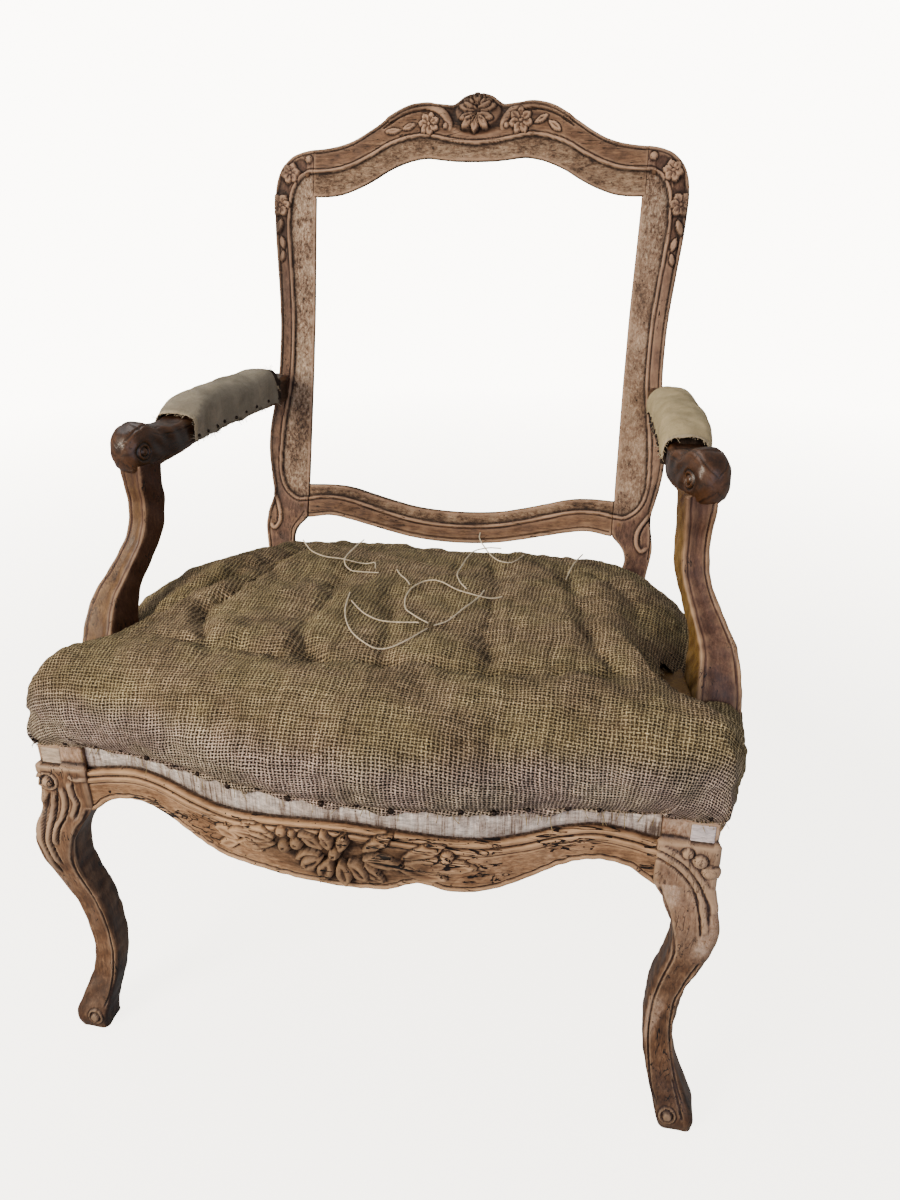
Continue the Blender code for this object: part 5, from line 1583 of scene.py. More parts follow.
@dataclass
class Arms:
    """Open arms that end in a scroll over their whiplash supports."""

    # middle of an arm from the post forward, with its width and height
    path: Table = (
        (0.247, 0.265, 0.585, 0.031, 0.032), (0.25, 0.205, 0.587, 0.034, 0.031),
        (0.259, 0.12, 0.588, 0.036, 0.03), (0.266, 0.04, 0.588, 0.036, 0.03),
        (0.266, -0.02, 0.586, 0.034, 0.031)
    )
    scroll: tuple[float, float, float] = (0.2735, -0.0705, 0.5862)
    radius: float = 0.022
    nose: float = 0.012
    spread: dict[Hand, float] = field(default_factory=lambda: {Hand.LEFT: 0.0025, Hand.RIGHT: 0.0095})
    yaw: dict[Hand, float] = field(default_factory=lambda: {Hand.LEFT: 12.0, Hand.RIGHT: 24.0})
    # height, middle, width and depth of a support
    support: Table = (
        (0.3523, 0.306, -0.128, 0.043, 0.045), (0.38, 0.3058, -0.127, 0.044, 0.044),
        (0.41, 0.3055, -0.119, 0.0425, 0.041), (0.44, 0.3025, -0.104, 0.036, 0.037),
        (0.47, 0.2895, -0.086, 0.0295, 0.0335), (0.5, 0.277, -0.073, 0.027, 0.031),
        (0.53, 0.272, -0.069, 0.0265, 0.0295), (0.55, 0.2714, -0.0715, 0.029, 0.03),
        (0.573, 0.2716, -0.071, 0.032, 0.03)
    )
    support_turn: float = 14.5
    arm_wood: OldWood = OldWood(
        name="dark waxed beech of the arms", dark="#150a04", mid="#301b0d", light="#4e2f1a", dirt="#0c0502",
        bare="#5e3d24", zone=("#38200f", "#573720", "#7a5836"), fibre=(1.0, 0.07, 1.0), rough=0.36,
        specular=0.55, holes=0.04, cracks=0.006
    )
    # the supports' second colours are painted light, for faces turned to the key lamp; their recess colour
    # also paints their shaded faces
    support_wood: OldWood = OldWood(
        name="waxed beech of the arm supports", dark="#2c1b13", mid="#5a3d2e", light="#7d5e48",
        dirt="#3a1c0c", bare="#b08e6c", zone=("#58401c", "#7c5c28", "#98793e"), fibre=(1.0, 1.0, 0.07),
        rough=0.5, specular=0.45, holes=0.12, cracks=0.012
    )

    def line(self, hand: Hand) -> tuple[Array, Array, float]:
        """The arm's middle line.

        Args:
            hand: Which arm, though always as its right-hand form.

        Returns:
            Rows of x, y, z, width and height, the length reached at each, and the length at the scroll's eye.
        """
        yaw = math.radians(self.yaw[hand])
        ahead = np.array([math.sin(yaw), -math.cos(yaw)])
        eye = np.array(self.scroll[:2]) + (self.spread[hand], 0.0)
        eye = eye + ahead * (0.003 if hand is Hand.LEFT else 0.0)
        ends = [(*(eye - ahead * 0.027), 0.585, 0.0345, 0.037), (*eye, 0.583, 0.036, 0.038)]
        rows = np.array([*self.path, *ends, (*(eye + ahead * self.radius), 0.582, 0.032, 0.02)])
        fine = along(rows, np.linspace(0, len(rows) - 1, 701))
        reached = walked(fine[:, :2])
        return fine, reached, reached[600]

    def sections(self, hand: Hand) -> tuple[Array, Bar, Array]:
        """Sections of an arm, close together round the nose of its scroll.

        Args:
            hand: Which arm.

        Returns:
            Length at each section, the bar, and the height of its middle at each section.
        """
        fine, reached, eye = self.line(hand)
        turn = np.linspace(-math.pi / 2, math.pi / 2, 74)
        t = np.concatenate(
            [spaced(0.0, eye - self.radius - 0.0004, 0.0021), eye + self.radius * np.sin(turn[1:])]
        )
        rows = resample(fine, reached, t)
        tangent = directions(resample(np.gradient(fine[:, :2], reached, axis=0), reached, t))
        half = rows[:, 4] / 2 * (1.0 - ease(t, eye - 0.006, eye + 0.014))
        disc = np.sqrt(np.clip(self.radius**2 - (t - eye) ** 2, 0.0, None))
        near = t > eye - self.radius
        disc = np.where(near, disc, -0.004 - (eye - self.radius - t))
        soft = np.where(t > eye, 0.0005, 0.006)
        top = soft * np.logaddexp((rows[:, 2] + half) / soft, (self.scroll[2] + disc) / soft)
        low = -soft * np.logaddexp((half - rows[:, 2]) / soft, (disc - self.scroll[2]) / soft)
        middle = (top + low) / 2
        centre = np.stack([rows[:, 0], rows[:, 1], middle], -1)
        across = np.stack([-tangent[:, 1], tangent[:, 0], 0 * t], -1)
        late = held((t - eye - self.radius) / self.nose + 1.0)
        wide = rows[:, 3] / 2 - self.nose * (1.0 - np.sqrt(1.0 - late**2))
        sizes = np.stack([wide, np.maximum((top - low) / 2, 0.0004)], -1)
        radius = 0.005 + 0.0065 * ease(t, eye - 0.05, eye - 0.012)
        return t, Bar(centre, across, Z_WAY, sizes, radius, (32, 38, 12)), middle

    def arm(self, hand: Hand, finish: bpy.types.Material) -> None:
        """Builds one arm with its volute."""
        t, bar, middle = self.sections(hand)
        _, _, eye = self.line(hand)
        flank = ease(np.abs(bar.na), 0.6, 0.9)
        run, level = np.broadcast_to(t[:, None], bar.a.shape), bar.b + middle[:, None]
        ahead = 0.0045 if hand is Hand.LEFT else 0.0005
        reach = np.hypot(run - eye - ahead, level - self.scroll[2])
        edge = bar.half[:, 1:] - np.abs(bar.b)
        spiral = ease(reach, self.radius + 0.002, self.radius - 0.001)
        cut = 0.0006 * dome(edge - 0.007, 0.0012) * (1 - spiral)
        cut = cut + spiral * (0.0012 * dome(reach - 0.0086, 0.0014) + 0.0013 * dome(reach - 0.0048, 0.001))
        cut = cut - spiral * (0.001 * dome(reach - 0.0067, 0.0015) + 0.002 * dome(reach, 0.0038))
        side = np.abs(bar.a)
        width = bar.half[:, :1]
        brow = 0.003 * (1 - (side / width) ** 2) - 0.0007 * dome(width - side - 0.0065, 0.001)
        lift = -cut * flank + brow * (1 - flank) * ease(run, eye - 0.045, eye - 0.01)
        points = bar.place(lift)
        lift = lift + 0.00035 * ripple(points, 0.018, 31)
        marks = shading(lift, 5, 30)
        deepen(marks, "worn", 1.4 * np.abs(bar.na * bar.nb))
        shell = Shell(f"{hand.word}_open_arm")
        shell.solid(mirror(bar.place(lift), hand), marks)
        shell.piece(finish, [f"{hand.word}_arm"])

    def stand(self, hand: Hand, finish: bpy.types.Material) -> None:
        """Builds one whiplash support."""
        z = spaced(self.support[0][0], self.support[-1][0], 0.0014)
        rows = read(self.support, z)
        turn = math.radians(self.support_turn)
        centre = np.stack([rows[:, 0], rows[:, 1], z], -1)
        centre[:, 0] += self.spread[hand] * ease(z, 0.47, 0.55) * 0.6
        across, outward = (math.cos(turn), math.sin(turn), 0.0), (math.sin(turn), -math.cos(turn), 0.0)
        slim = 0.94 if hand is Hand.LEFT else 1.0
        half = rows[:, 2:] / 2 * (slim, 1.0)
        bar = Bar(centre, across, outward, half, 0.0035, (32, 20, 10))
        front = ease(bar.nb, 0.4, 0.9)
        side = bar.half[:, :1] - np.abs(bar.a)
        outer = ease(bar.a, 0.0, 0.002)
        groove = 0.0014 * dome(side - 0.0056, 0.001) * (0.35 + 0.65 * outer)
        lift = 0.0008 * dome(side - 0.0026, 0.0022) - groove
        lift = (lift - 0.0016 * ease(side, 0.006, 0.016)) * front
        lift = lift + 0.0004 * ripple(bar.place(), 0.02, 41 + hand.value)
        marks = shading(lift, 5, 30)
        deepen(marks, "worn", 1.6 * np.abs(bar.na * bar.nb))
        inner = ease(-bar.na, 0.5, 0.9)
        # painted shade on the inner faces, on the tops under the arm, and over all of the left support
        shade = 0.45 * inner if hand is Hand.LEFT else 0.25 * inner
        shade = shade + 0.45 * ease(bar.centre[:, 2:], 0.52, 0.57) + 0.24 * (hand is Hand.LEFT)
        deepen(marks, "grime_and_shade", shade, 0.95)
        # painted light in the second colours: a highlight down the left support's front, and the right
        # support's inner face, turned to the key lamp
        painted_highlight = 0.38 * front * ease(side, 0.005, 0.01)
        marks["zone"] = painted_highlight if hand is Hand.LEFT else inner
        shell = Shell(f"{hand.word}_whiplash_support")
        shell.solid(mirror(bar.place(lift), hand), marks)
        if hand is Hand.RIGHT:
            self.block(shell)
        shell.piece(finish, [f"{hand.word}_arm_support"])

    def block(self, shell: Shell) -> None:
        """Adds the bare block that shows beside the foot of a support where the cloth is cut away."""
        y = spaced(-0.168, -0.098, 0.003)
        x = 0.2715 + 0.13 * (-0.13 - y)
        centre = np.stack([x, y, np.full(len(y), 0.3848)], -1)
        bar = Bar(centre, X_WAY, Z_WAY, (0.0118, 0.02), 0.001, (12, 10, 6))
        shell.solid(bar.place(), {"grime_and_shade": 0.62 + 0 * bar.a, "zone": 1 + 0 * bar.a})

    def build(self) -> None:
        """Builds and dresses both arms and their supports."""
        dark, brown = self.arm_wood.dress(), self.support_wood.dress()
        for hand in Hand:
            self.arm(hand, dark)
            self.stand(hand, brown)


# ---------------------------------------------------------------- seat


@dataclass
class SeatForm:
    """Shape of the stuffed seat: a crowned top that rolls over to its tacked edge."""

    centre: tuple[float, float] = (0.0, -0.05)
    roll_start: float = 0.6
    front: Table = (
        (0.0, -0.29), (0.07, -0.287), (0.13, -0.273), (0.19, -0.2585), (0.25, -0.2545), (0.296, -0.243)
    )
    side: Table = (
        (0.296, -0.243), (0.3075, -0.215), (0.3225, -0.175), (0.329, -0.13), (0.325, -0.08), (0.31, -0.02),
        (0.286, 0.05), (0.264, 0.11), (0.245, 0.17)
    )
    back: Table = ((0.245, 0.17), (0.215, 0.1735), (0.19, 0.181), (0.175, 0.2), (0.13, 0.206), (0.0, 0.207))
    # how far each roll stands out from the rim, and its share of the height
    rolls: tuple[Table, Table, Table] = (
        ((0, 0), (0.012, 0.2), (0.017, 0.45), (0.01, 0.7), (-0.006, 0.88), (-0.024, 0.97), (-0.045, 1.0)),
        (
            (0, 0), (0.003, 0.135), (0.001, 0.28), (-0.009, 0.425), (-0.035, 0.555), (-0.07, 0.78),
            (-0.118, 1.0)
        ),
        ((0, 0), (0.003, 0.18), (0.001, 0.36), (-0.011, 0.55), (-0.032, 0.76), (-0.062, 0.92), (-0.1, 1.0))
    )
    crown: Table = (
        (-0.3, 0.084), (-0.2, 0.096), (-0.1, 0.102), (0.0, 0.099), (0.1, 0.075), (0.17, 0.052), (0.21, 0.04)
    )
    furrows: tuple[Table, ...] = (
        ((-0.148, 0.037), (-0.165, -0.084), (-0.18, -0.141), (-0.161, -0.205)),
        ((-0.054, 0.026), (-0.071, -0.09), (-0.07, -0.178), (-0.045, -0.21)),
        ((-0.018, -0.027), (-0.001, -0.131), (0.014, -0.204)),
        ((0.072, 0.047), (0.095, -0.071), (0.096, -0.151), (0.111, -0.207)),
        ((0.151, 0.047), (0.179, -0.078), (0.193, -0.13), (0.211, -0.198)),
        ((0.178, 0.03), (0.224, -0.059), (0.244, -0.107), (0.251, -0.18)),
        ((-0.24, -0.19), (-0.15, -0.206), (-0.045, -0.213), (0.06, -0.208), (0.14, -0.205), (0.25, -0.186)),
        ((-0.252, -0.15), (-0.222, -0.104), (-0.188, -0.044), (-0.158, 0.018), (-0.142, 0.07))
    )
    furrow_sizes: Table = (
        (0.0115, 0.02), (0.0085, 0.023), (0.006, 0.023), (0.007, 0.023), (0.008, 0.022), (0.006, 0.023),
        (0.0075, 0.03), (0.011, 0.033)
    )
    dimples: Table = (
        (-0.15, -0.205, 0.01), (-0.045, -0.212, 0.012), (0.014, -0.206, 0.01), (0.111, -0.207, 0.013),
        (0.135, -0.203, 0.008), (0.193, -0.13, 0.009), (0.209, -0.198, 0.012), (0.249, -0.185, 0.01),
        (0.155, -0.005, 0.008), (-0.191, -0.026, 0.008)
    )
    # depth, middle and the spread each way of the broad hollows; a negative one is a lump
    hollows: Table = (
        (0.015, -0.29, -0.17, 0.006, 0.004), (0.01, 0.272, -0.185, 0.0009, 0.0022),
        (-0.005, 0.324, -0.172, 0.0002, 0.0016), (0.014, -0.292, -0.118, 0.0011, 0.0017),
        (0.006, 0.292, -0.118, 0.0011, 0.0017), (0.006, -0.25, 0.045, 0.0045, 0.009),
        (0.0055, -0.265, -0.02, 0.0012, 0.004), (0.012, 0.275, -0.11, 0.0012, 0.0028),
        (0.005, 0.285, -0.04, 0.0012, 0.003)
    )

    def rim(self, alpha: Array, beta: Array) -> Array:
        """Places on the seat's outline for directions on the unit square."""
        ahead, behind = beta <= -1.0 + 1e-6, beta >= 1.0 - 1e-6
        share = np.where(ahead, np.abs(alpha), np.where(behind, 1.0 - np.abs(alpha), (beta + 1.0) / 2))
        spots = np.zeros((len(alpha), 2))
        for table, chosen in ((self.front, ahead), (self.side, ~ahead & ~behind), (self.back, behind)):
            rows = np.array(table)
            spots[chosen] = along(rows, share[chosen] * (len(rows) - 1))
        spots[:, 0] *= np.where(alpha < 0, -1.0, 1.0)
        return spots

    def edge(self, rim: Array) -> Array:
        """Where the hem goes over the edge of the frame, for places on the seat's outline."""
        x, y = np.abs(rim[:, 0]), rim[:, 1]
        over = x + 0.0152 * ease(x, 0.25, 0.296)
        face = read(SeatFrame.front, np.minimum(over, SeatFrame.joint_x))[:, 0]
        face = face + (-0.262 - face) * ease(over, 0.262, 0.264)
        ahead = np.stack([over, face - 0.0012 + 0.005 * ease(over, 0.232, 0.27)], -1)
        back = y - 0.019 * (1.0 - ease(y, -0.243, -0.2))
        (rail,) = read(SeatFrame.side, np.maximum(back, SeatFrame.side[0][0])).T
        beside = np.stack([np.where(back < -0.215, 0.3112, np.maximum(rail - 0.0046, x + 0.0008)), back], -1)
        behind = rim + (0.0, 0.003)
        behind[:, 0] = x
        edge = np.where((y > -0.2429)[:, None], beside, ahead)
        edge = np.where((y > 0.1699)[:, None], behind, edge)
        return edge * np.stack([np.where(rim[:, 0] < 0, -1.0, 1.0), np.ones(len(rim))], -1)

    def roll(self, rim: Array, share: Array) -> Array:
        """Outset and share of height on the rolled edge, two columns."""
        to_side, to_rear = ease(rim[:, 1], -0.235, -0.17), ease(rim[:, 1], -0.11, -0.01)
        f, s, r = (along(np.array(table, float), share * (len(table) - 1)) for table in self.rolls)
        both = f + (s - f) * to_side[:, None] + (r - s) * to_rear[:, None]
        corner = ease(np.abs(rim[:, 0]), 0.235, 0.285) * (1.0 - to_side)
        both[:, 0] += 0.007 * corner * np.sin(math.pi * share) ** 2
        return both

    def surface(self, a: Array, b: Array) -> Array:
        """Smooth stuffed form: a runs across and b runs back, each from -1 to 1."""
        rho = np.maximum(np.maximum(np.abs(a), np.abs(b)), 1e-6)
        rim = self.rim(a / rho, b / rho)
        inward = np.array(self.centre) - rim
        reach = np.linalg.norm(inward, axis=1)
        inward /= reach[:, None]
        outset, share = self.roll(rim, held((1.0 - rho) / (1.0 - self.roll_start))).T
        flat = -outset + (reach + outset) * (1.0 - rho / self.roll_start)
        rolled = rho > self.roll_start
        plan = rim + inward * np.where(rolled, -outset, flat)[:, None]
        foot = np.where(rolled, 1.0 - ease(share, 0.0, 0.38), 0.0)
        plan = plan + (self.edge(rim) - rim) * foot[:, None]
        (crown,) = read(self.crown, plan[:, 1]).T
        return np.concatenate([plan, (RAIL_TOP + GAP + crown * np.where(rolled, share, 1.0))[:, None]], 1)

    def worked(self, points: Array) -> Array:
        """Depth of the stitched furrows, the dimples and the lumps at each point of a grid."""
        x, y = points[..., 0], points[..., 1]
        wander = 0.004 * ripple(points[..., :2], 0.09, 51)
        depth = np.full(x.shape, -0.0032)
        for index, line in enumerate(self.furrows):
            deep, half = self.furrow_sizes[index]
            gap, share = path_distance(x + wander, y, rounded_path(list(line), 0.006))
            fade = ease(share, 0.0, 0.12) * ease(1.0 - share, 0.0, 0.06)
            rough = 1.0 + 0.25 * ripple(points[..., :2], 0.03, 60 + index)
            depth = depth + deep * fade * rough * held(1.0 - gap / half) ** 1.9
        for dx, dy, size in self.dimples:
            depth = depth + size * 0.5 * np.exp(-((x - dx) ** 2 + (y - dy) ** 2) / (2 * 0.0075**2))
        for deep, x0, y0, wide, long in self.hollows:
            depth = depth + deep * np.exp(-((x - x0) ** 2 / wide + (y - y0) ** 2 / long))
        depth = depth - 0.0022 * ripple(points, 0.085, 71) - 0.0009 * ripple(points, 0.026, 72)
        return depth - 0.0005 * ripple(points, 0.011, 73)

    def sample(self, size: int, sink: float = 0.0) -> tuple[Array, Array, Array, Array]:
        """The worked surface as a grid.

        Args:
            size: Samples each way.
            sink: How far under the cloth.

        Returns:
            Points, cloth coordinates, furrow depth, and each sample's share of the way out.
        """
        a, b = square(size)
        smooth = self.surface(a, b).reshape(size, size, 3)
        rho = np.maximum(np.abs(a), np.abs(b)).reshape(size, size)
        normal = np.cross(np.gradient(smooth, axis=0), np.gradient(smooth, axis=1))
        normal = np.stack([soften(normal[..., axis], 6) for axis in range(3)], -1)
        normal = directions(normal)
        hold = ease(1.0 - rho, 0.004, 0.07)
        depth = self.worked(smooth) * hold
        points = smooth - normal * (depth + sink)[..., None]
        points[..., 2] = np.maximum(points[..., 2], RAIL_TOP + GAP)
        steps = 36
        length, last = np.zeros(size * size), self.surface(a * 0, b * 0)
        for step in range(1, steps + 1):
            here = self.surface(a * step / steps, b * step / steps)
            length += np.linalg.norm(here - last, axis=1)
            last = here
        plan = last[:, :2]
        out = directions(np.stack([np.sign(a) * np.abs(a) ** 7, np.sign(b) * np.abs(b) ** 7], -1))
        extra = length - np.linalg.norm(plan - self.centre, axis=1)
        cloth = np.concatenate([plan + out * extra[:, None], np.zeros((len(a), 1))], 1)
        return points, cloth.reshape(size, size, 3), depth, rho


# share of a tack head's radius and its height there
TACK_HEAD: Table = ((1.0, -0.001), (1.0, 0.0004), (0.85, 0.0011), (0.5, 0.0016), (0.12, 0.0018))


def tack_head(shell: Shell, middle: Array, way: Array, size: float) -> None:
    """Adds a domed tack head.

    Args:
        shell: Piece that it goes into.
        middle: Its middle, on the cloth.
        way: x and y of the level direction that it faces.
        size: Its radius, in metres.
    """
    turn = np.linspace(0.0, 2.0 * math.pi, 11)[:-1]
    level = np.array([-way[1], way[0], 0.0])
    ring = np.outer(np.cos(turn), level) + np.outer(np.sin(turn), [0.0, 0.0, 1.0])
    rows = [middle + ring * size * wide + np.array([way[0], way[1], 0.0]) * rise for wide, rise in TACK_HEAD]
    shell.solid(np.stack(rows))


@dataclass
class SeatUpholstery:
    """Scrim over a stitched horsehair pad, on canvas and webbing."""

    form: SeatForm
    arms: Arms
    size: int = 275
    hem_columns: int = 1040
    cloth_gap: float = 0.0032  # how far the hair lies under the scrim
    pad_floor: float = 0.3572
    canvas_inset: float = 0.012
    canvas_level: float = 0.3562
    scrim: Weave = Weave(
        name="coarse scrim, handled and dusty", pitch=0.003, gap=0.4, hole="#100a06", shade="#382c1a",
        yarn="#77684b", glint="#dac9a2", second=("#51453b", "#897a6d", "#d8c9b7"), deep=0.0011, hairs=1.35,
        tone=0.24, fuzz=(0.42, 0.04), tints=("#bebcb6", "#beb7ba"), spacing=(1.14, 0.87)
    )
    hair: Fibre = Fibre("curled horsehair", "#120c08", "#3b2c20", 0.0006)
    canvas: Weave = Weave(
        name="linen base canvas", pitch=0.0011, gap=0.1, hole="#4a3f2c", shade="#7d6d4e", yarn="#9c8a66",
        glint="#b8a680", second=("#7d6d4e", "#9c8a66", "#b8a680"), deep=0.0004, hairs=0.5
    )
    jute: Weave = Weave(
        name="jute webbing", pitch=0.0019, gap=0.1, hole="#3a2a16", shade="#6e5330", yarn="#8f6f42",
        glint="#b08e5c", second=("#6e5330", "#8f6f42", "#b08e5c"), deep=0.0008, hairs=0.5
    )

    def near_support(self, points: Array, margin: float) -> Array:
        """True for points of the right-hand or left-hand half that fall inside an arm support."""
        rows = read(self.arms.support, np.clip(points[..., 2], self.arms.support[0][0], 0.45).ravel())
        x, y, width, depth = (column.reshape(points.shape[:-1]) for column in rows.T)
        turn = math.radians(self.arms.support_turn)
        dx, dy = np.abs(points[..., 0]) - x, points[..., 1] - y
        u, v = dx * math.cos(turn) + dy * math.sin(turn), dx * math.sin(turn) - dy * math.cos(turn)
        return (np.abs(u) < width / 2 + margin) & (np.abs(v) < depth / 2 + margin)

    def cut_back(self, points: Array) -> Array:
        """True for the places beside the right-hand support where the cloth has been cut away."""
        ragged = 0.0035 * ripple(points[..., :2], 0.014, 81)
        across = np.abs(points[..., 0] - 0.2765 - 0.13 * (-0.13 - points[..., 1])) - 0.015
        back = np.abs(points[..., 1] + 0.137) - 0.025
        return (np.maximum(across, back) + ragged < 0.0) & (points[..., 0] > 0)

    def hem(self, shell: Shell) -> tuple[Array, Array]:
        """Adds the turned-over edge, tacked down over the top of the rails.

        Args:
            shell: The scrim.

        Returns:
            Places along its ragged lower edge, and the way out from the seat at each.
        """
        t = np.arange(self.hem_columns) / self.hem_columns * 4.0
        corner, share = np.floor(t).astype(int), 2.0 * (t % 1.0) - 1.0
        ones = np.ones(len(t))
        alpha = np.choose(corner, [share, ones, -share, -ones])
        beta = np.choose(corner, [-ones, share, ones, -share])
        rim = self.form.rim(alpha, beta)
        edge = self.form.edge(rim)
        step = np.gradient(edge, axis=0)
        side = directions(np.stack([step[:, 1], -step[:, 0]], -1))
        tack = np.abs(np.sin(math.pi * walked(edge) / 0.024 + 0.8 * ripple(edge, 0.2, 91)))
        draw = np.random.default_rng(92)
        jag = soften(draw.normal(size=(1, len(t))), 2)[0]
        drop = 0.0042 + 0.0022 * ripple(edge, 0.05, 93) + 0.0016 * jag
        drop = drop + 0.002 * ease(np.abs(edge[:, 0]), 0.24, 0.28)
        corner = ease(np.abs(edge[:, 0]), 0.165, 0.235) * (edge[:, 1] < -0.2)
        drop = np.clip(drop, 0.001, 0.011) * (1.0 - corner) + 0.0004 * corner
        drop = np.where(rim[:, 1] > 0.166, 0.0008, drop)
        puff = 0.0006 + 0.0017 * tack * (1 + 0.4 * ripple(edge, 0.04, 94))
        rows = []
        for fall, proud in ((0.0, 0.0), (0.12, 0.7), (0.3, 1.1), (0.5, 1.2), (0.75, 0.9), (1.0, 0.7)):
            plan = edge + side * (puff * proud)[:, None]
            rows.append(np.concatenate([plan, (RAIL_TOP + GAP - fall * drop)[:, None]], 1))
        points = np.stack(rows)
        gaps = np.linalg.norm(np.diff(points, axis=0), axis=2)
        reached = np.concatenate([np.zeros((1, len(t))), np.cumsum(gaps, axis=0)]) + 0.045
        cloth = edge[None] + side[None] * reached[..., None]
        cloth = np.concatenate([cloth, np.zeros((*cloth.shape[:2], 1))], 2)
        # painted shade in the creases pinched at the tacks; the hem darker further down
        grime_and_shade = held(1.0 - tack[None] * 1.6) * np.array([0.6, 0.6, 0.5, 0.6, 0.7, 0.8])[:, None]
        marks = {"cloth": cloth, "grime_and_shade": grime_and_shade, "zone": np.full(grime_and_shade.shape, 0.95)}
        keep = ~(self.near_support(points, 0.0008) | self.cut_back(points))
        keep = keep[:-1] & keep[1:] & np.roll(keep[:-1], -1, 1) & np.roll(keep[1:], -1, 1)
        shell.grid(points, marks, closed=True, keep=keep)
        chosen = keep[-1] & (rim[:, 1] < 0.165)
        return points[-1][chosen], side[chosen]

    def fray(self, ends: Array, out: Array) -> bpy.types.Object:
        """Threads that hang out of the cut edge."""
        draw = np.random.default_rng(95)
        shell = Shell("frayed_threads")
        picked = draw.choice(len(ends), size=240, replace=False)
        for index in picked:
            length = draw.uniform(0.003, 0.01)
            way = np.array([*(out[index] * draw.uniform(0.05, 0.35)), -1.0])
            way = way + draw.normal(0, 0.35, 3) * (1, 1, 0.2)
            bend = draw.normal(0, 0.25, 3)
            path = ends[index] + [0, 0, 0.001] + np.outer(np.linspace(0, length, 5), way)
            path += np.outer(np.linspace(0, 1, 5) ** 2 * length, bend)
            self.thread(shell, path, draw.uniform(0.00022, 0.00042))
        return shell.piece(Fibre("frayed scrim yarn", "#6e5c3a", "#b8a47a", 0.0004).dress(), [])

    def tacks(self, ends: Array, out: Array) -> None:
        """Domed tack heads over the hem, 27 mm or so apart."""
        draw = np.random.default_rng(96)
        shell = Shell("hem_tacks")
        last = ends[0] + 1.0
        for place, way in zip(ends, out):
            if place[1] > 0.12 or np.linalg.norm((place - last)[:2]) < draw.uniform(0.024, 0.034):
                continue
            last = place
            size = draw.uniform(0.0019, 0.0029)
            middle = place + [*(way * 0.0004), 0.0036 + draw.uniform(-0.001, 0.0014)]
            tack_head(shell, middle, way, size)
        shell.piece(Iron().dress(), [])

    @staticmethod
    def thread(shell: Shell, path: Array, radius: float) -> None:
        """Adds a thin three-sided strand along a path."""
        ahead = directions(np.gradient(path, axis=0))
        u = directions(np.cross(ahead, [0.31, 0.87, 0.38]))
        v = np.cross(ahead, u)
        turn = np.arange(3) * 2 * math.pi / 3
        ring = u[:, None] * np.cos(turn)[:, None] + v[:, None] * np.sin(turn)[:, None]
        shell.solid(path[:, None] + radius * ring)

    def build_scrim(self) -> BVHTree:
        """Builds the scrim and its frayed edge.

        Returns:
            A tree for dropping things on the scrim, in the frame of the tables.
        """
        points, cloth, depth, _ = self.form.sample(self.size)
        # painted shade in the stitched furrows, and handled is painted shade over the whole top, darker than
        # the lit front roll
        sunk = 0.62 * held((depth - 0.001) / 0.011) ** 1.3
        # the front roll takes the second, paler colours with less loose fibre: partly the cloth's own, partly
        # painted light from the lamps in front
        front = ease(-points[..., 1], 0.235, 0.262) * ease(0.425 - points[..., 2], 0.0, 0.03)
        handled = 0.14 * ease(points[..., 2], 0.45, 0.485)
        marks = {"cloth": cloth, "grime_and_shade": held(sunk + handled), "zone": front}
        gone = self.near_support(points, 0.0008) | self.cut_back(points)
        keep = ~(gone[:-1, :-1] | gone[1:, :-1] | gone[:-1, 1:] | gone[1:, 1:])
        shell = Shell("seat_cover")
        shell.grid(points, marks, keep=keep)
        corners = [Vector(point) for point in shell.points[0].tolist()]
        tree = BVHTree.FromPolygons(corners, shell.faces, epsilon=0.0)
        ends, out = self.hem(shell)
        made = shell.piece(self.scrim.dress(), ["seat_scrim"])
        frayed = self.fray(ends, out)
        self.tacks(ends, out)
        return tree

    def build_stuffing(self) -> None:
        """Builds the hair pad and closes it underneath."""
        points, _, _, rho = self.form.sample(101, self.cloth_gap)
        centre = np.array(self.form.centre)
        inward = centre - points[..., :2]
        reach = np.maximum(np.linalg.norm(inward, axis=2, keepdims=True), 1e-6)
        points[..., :2] += inward / reach * np.minimum(0.005, reach) * ease(rho, 0.6, 1.0)[..., None]
        bare = np.hypot((points[..., 0] - 0.2715) / 0.03, (points[..., 1] + 0.128) / 0.055)
        spare = np.maximum(points[..., 2] - 0.395, 0.0)
        points[..., 2] = np.maximum(points[..., 2] - spare * ease(1.0 - bare, 0.0, 0.35), self.pad_floor)
        shell = Shell("seat_pad")
        last = len(points) - 1
        shell.grid(points)
        border = [i * (last + 1) for i in range(last)] + [last * (last + 1) + j for j in range(last)]
        border += [i * (last + 1) + last for i in range(last, 0, -1)] + list(range(last, 0, -1))
        shell.faces.append(tuple(border[::-1]))
        made = shell.piece(self.hair.dress(), ["seat_stuffing"])

    def build_canvas(self) -> None:
        """Builds the canvas under the hair and the webbing under that."""
        a, b = square(61)
        rho = np.maximum(np.maximum(np.abs(a), np.abs(b)), 1e-6)
        rim = self.form.rim(a / rho, b / rho)
        inward = np.array(self.form.centre) - rim
        reach = np.linalg.norm(inward, axis=1)[:, None]
        plan = rim + inward / reach * (self.canvas_inset + (reach - self.canvas_inset) * (1.0 - rho[:, None]))
        sag = self.canvas_level - 0.0004 * ripple(plan, 0.07, 96) * ease(1 - rho, 0.0, 0.2)
        points = np.concatenate([plan, sag[:, None]], 1).reshape(61, 61, 3)
        cloth = points * (1.0, 1.0, 0.0)
        shell = Shell("seat_canvas")
        shell.grid(points, {"cloth": cloth})
        made = shell.piece(self.canvas.dress(), ["base_canvas"])

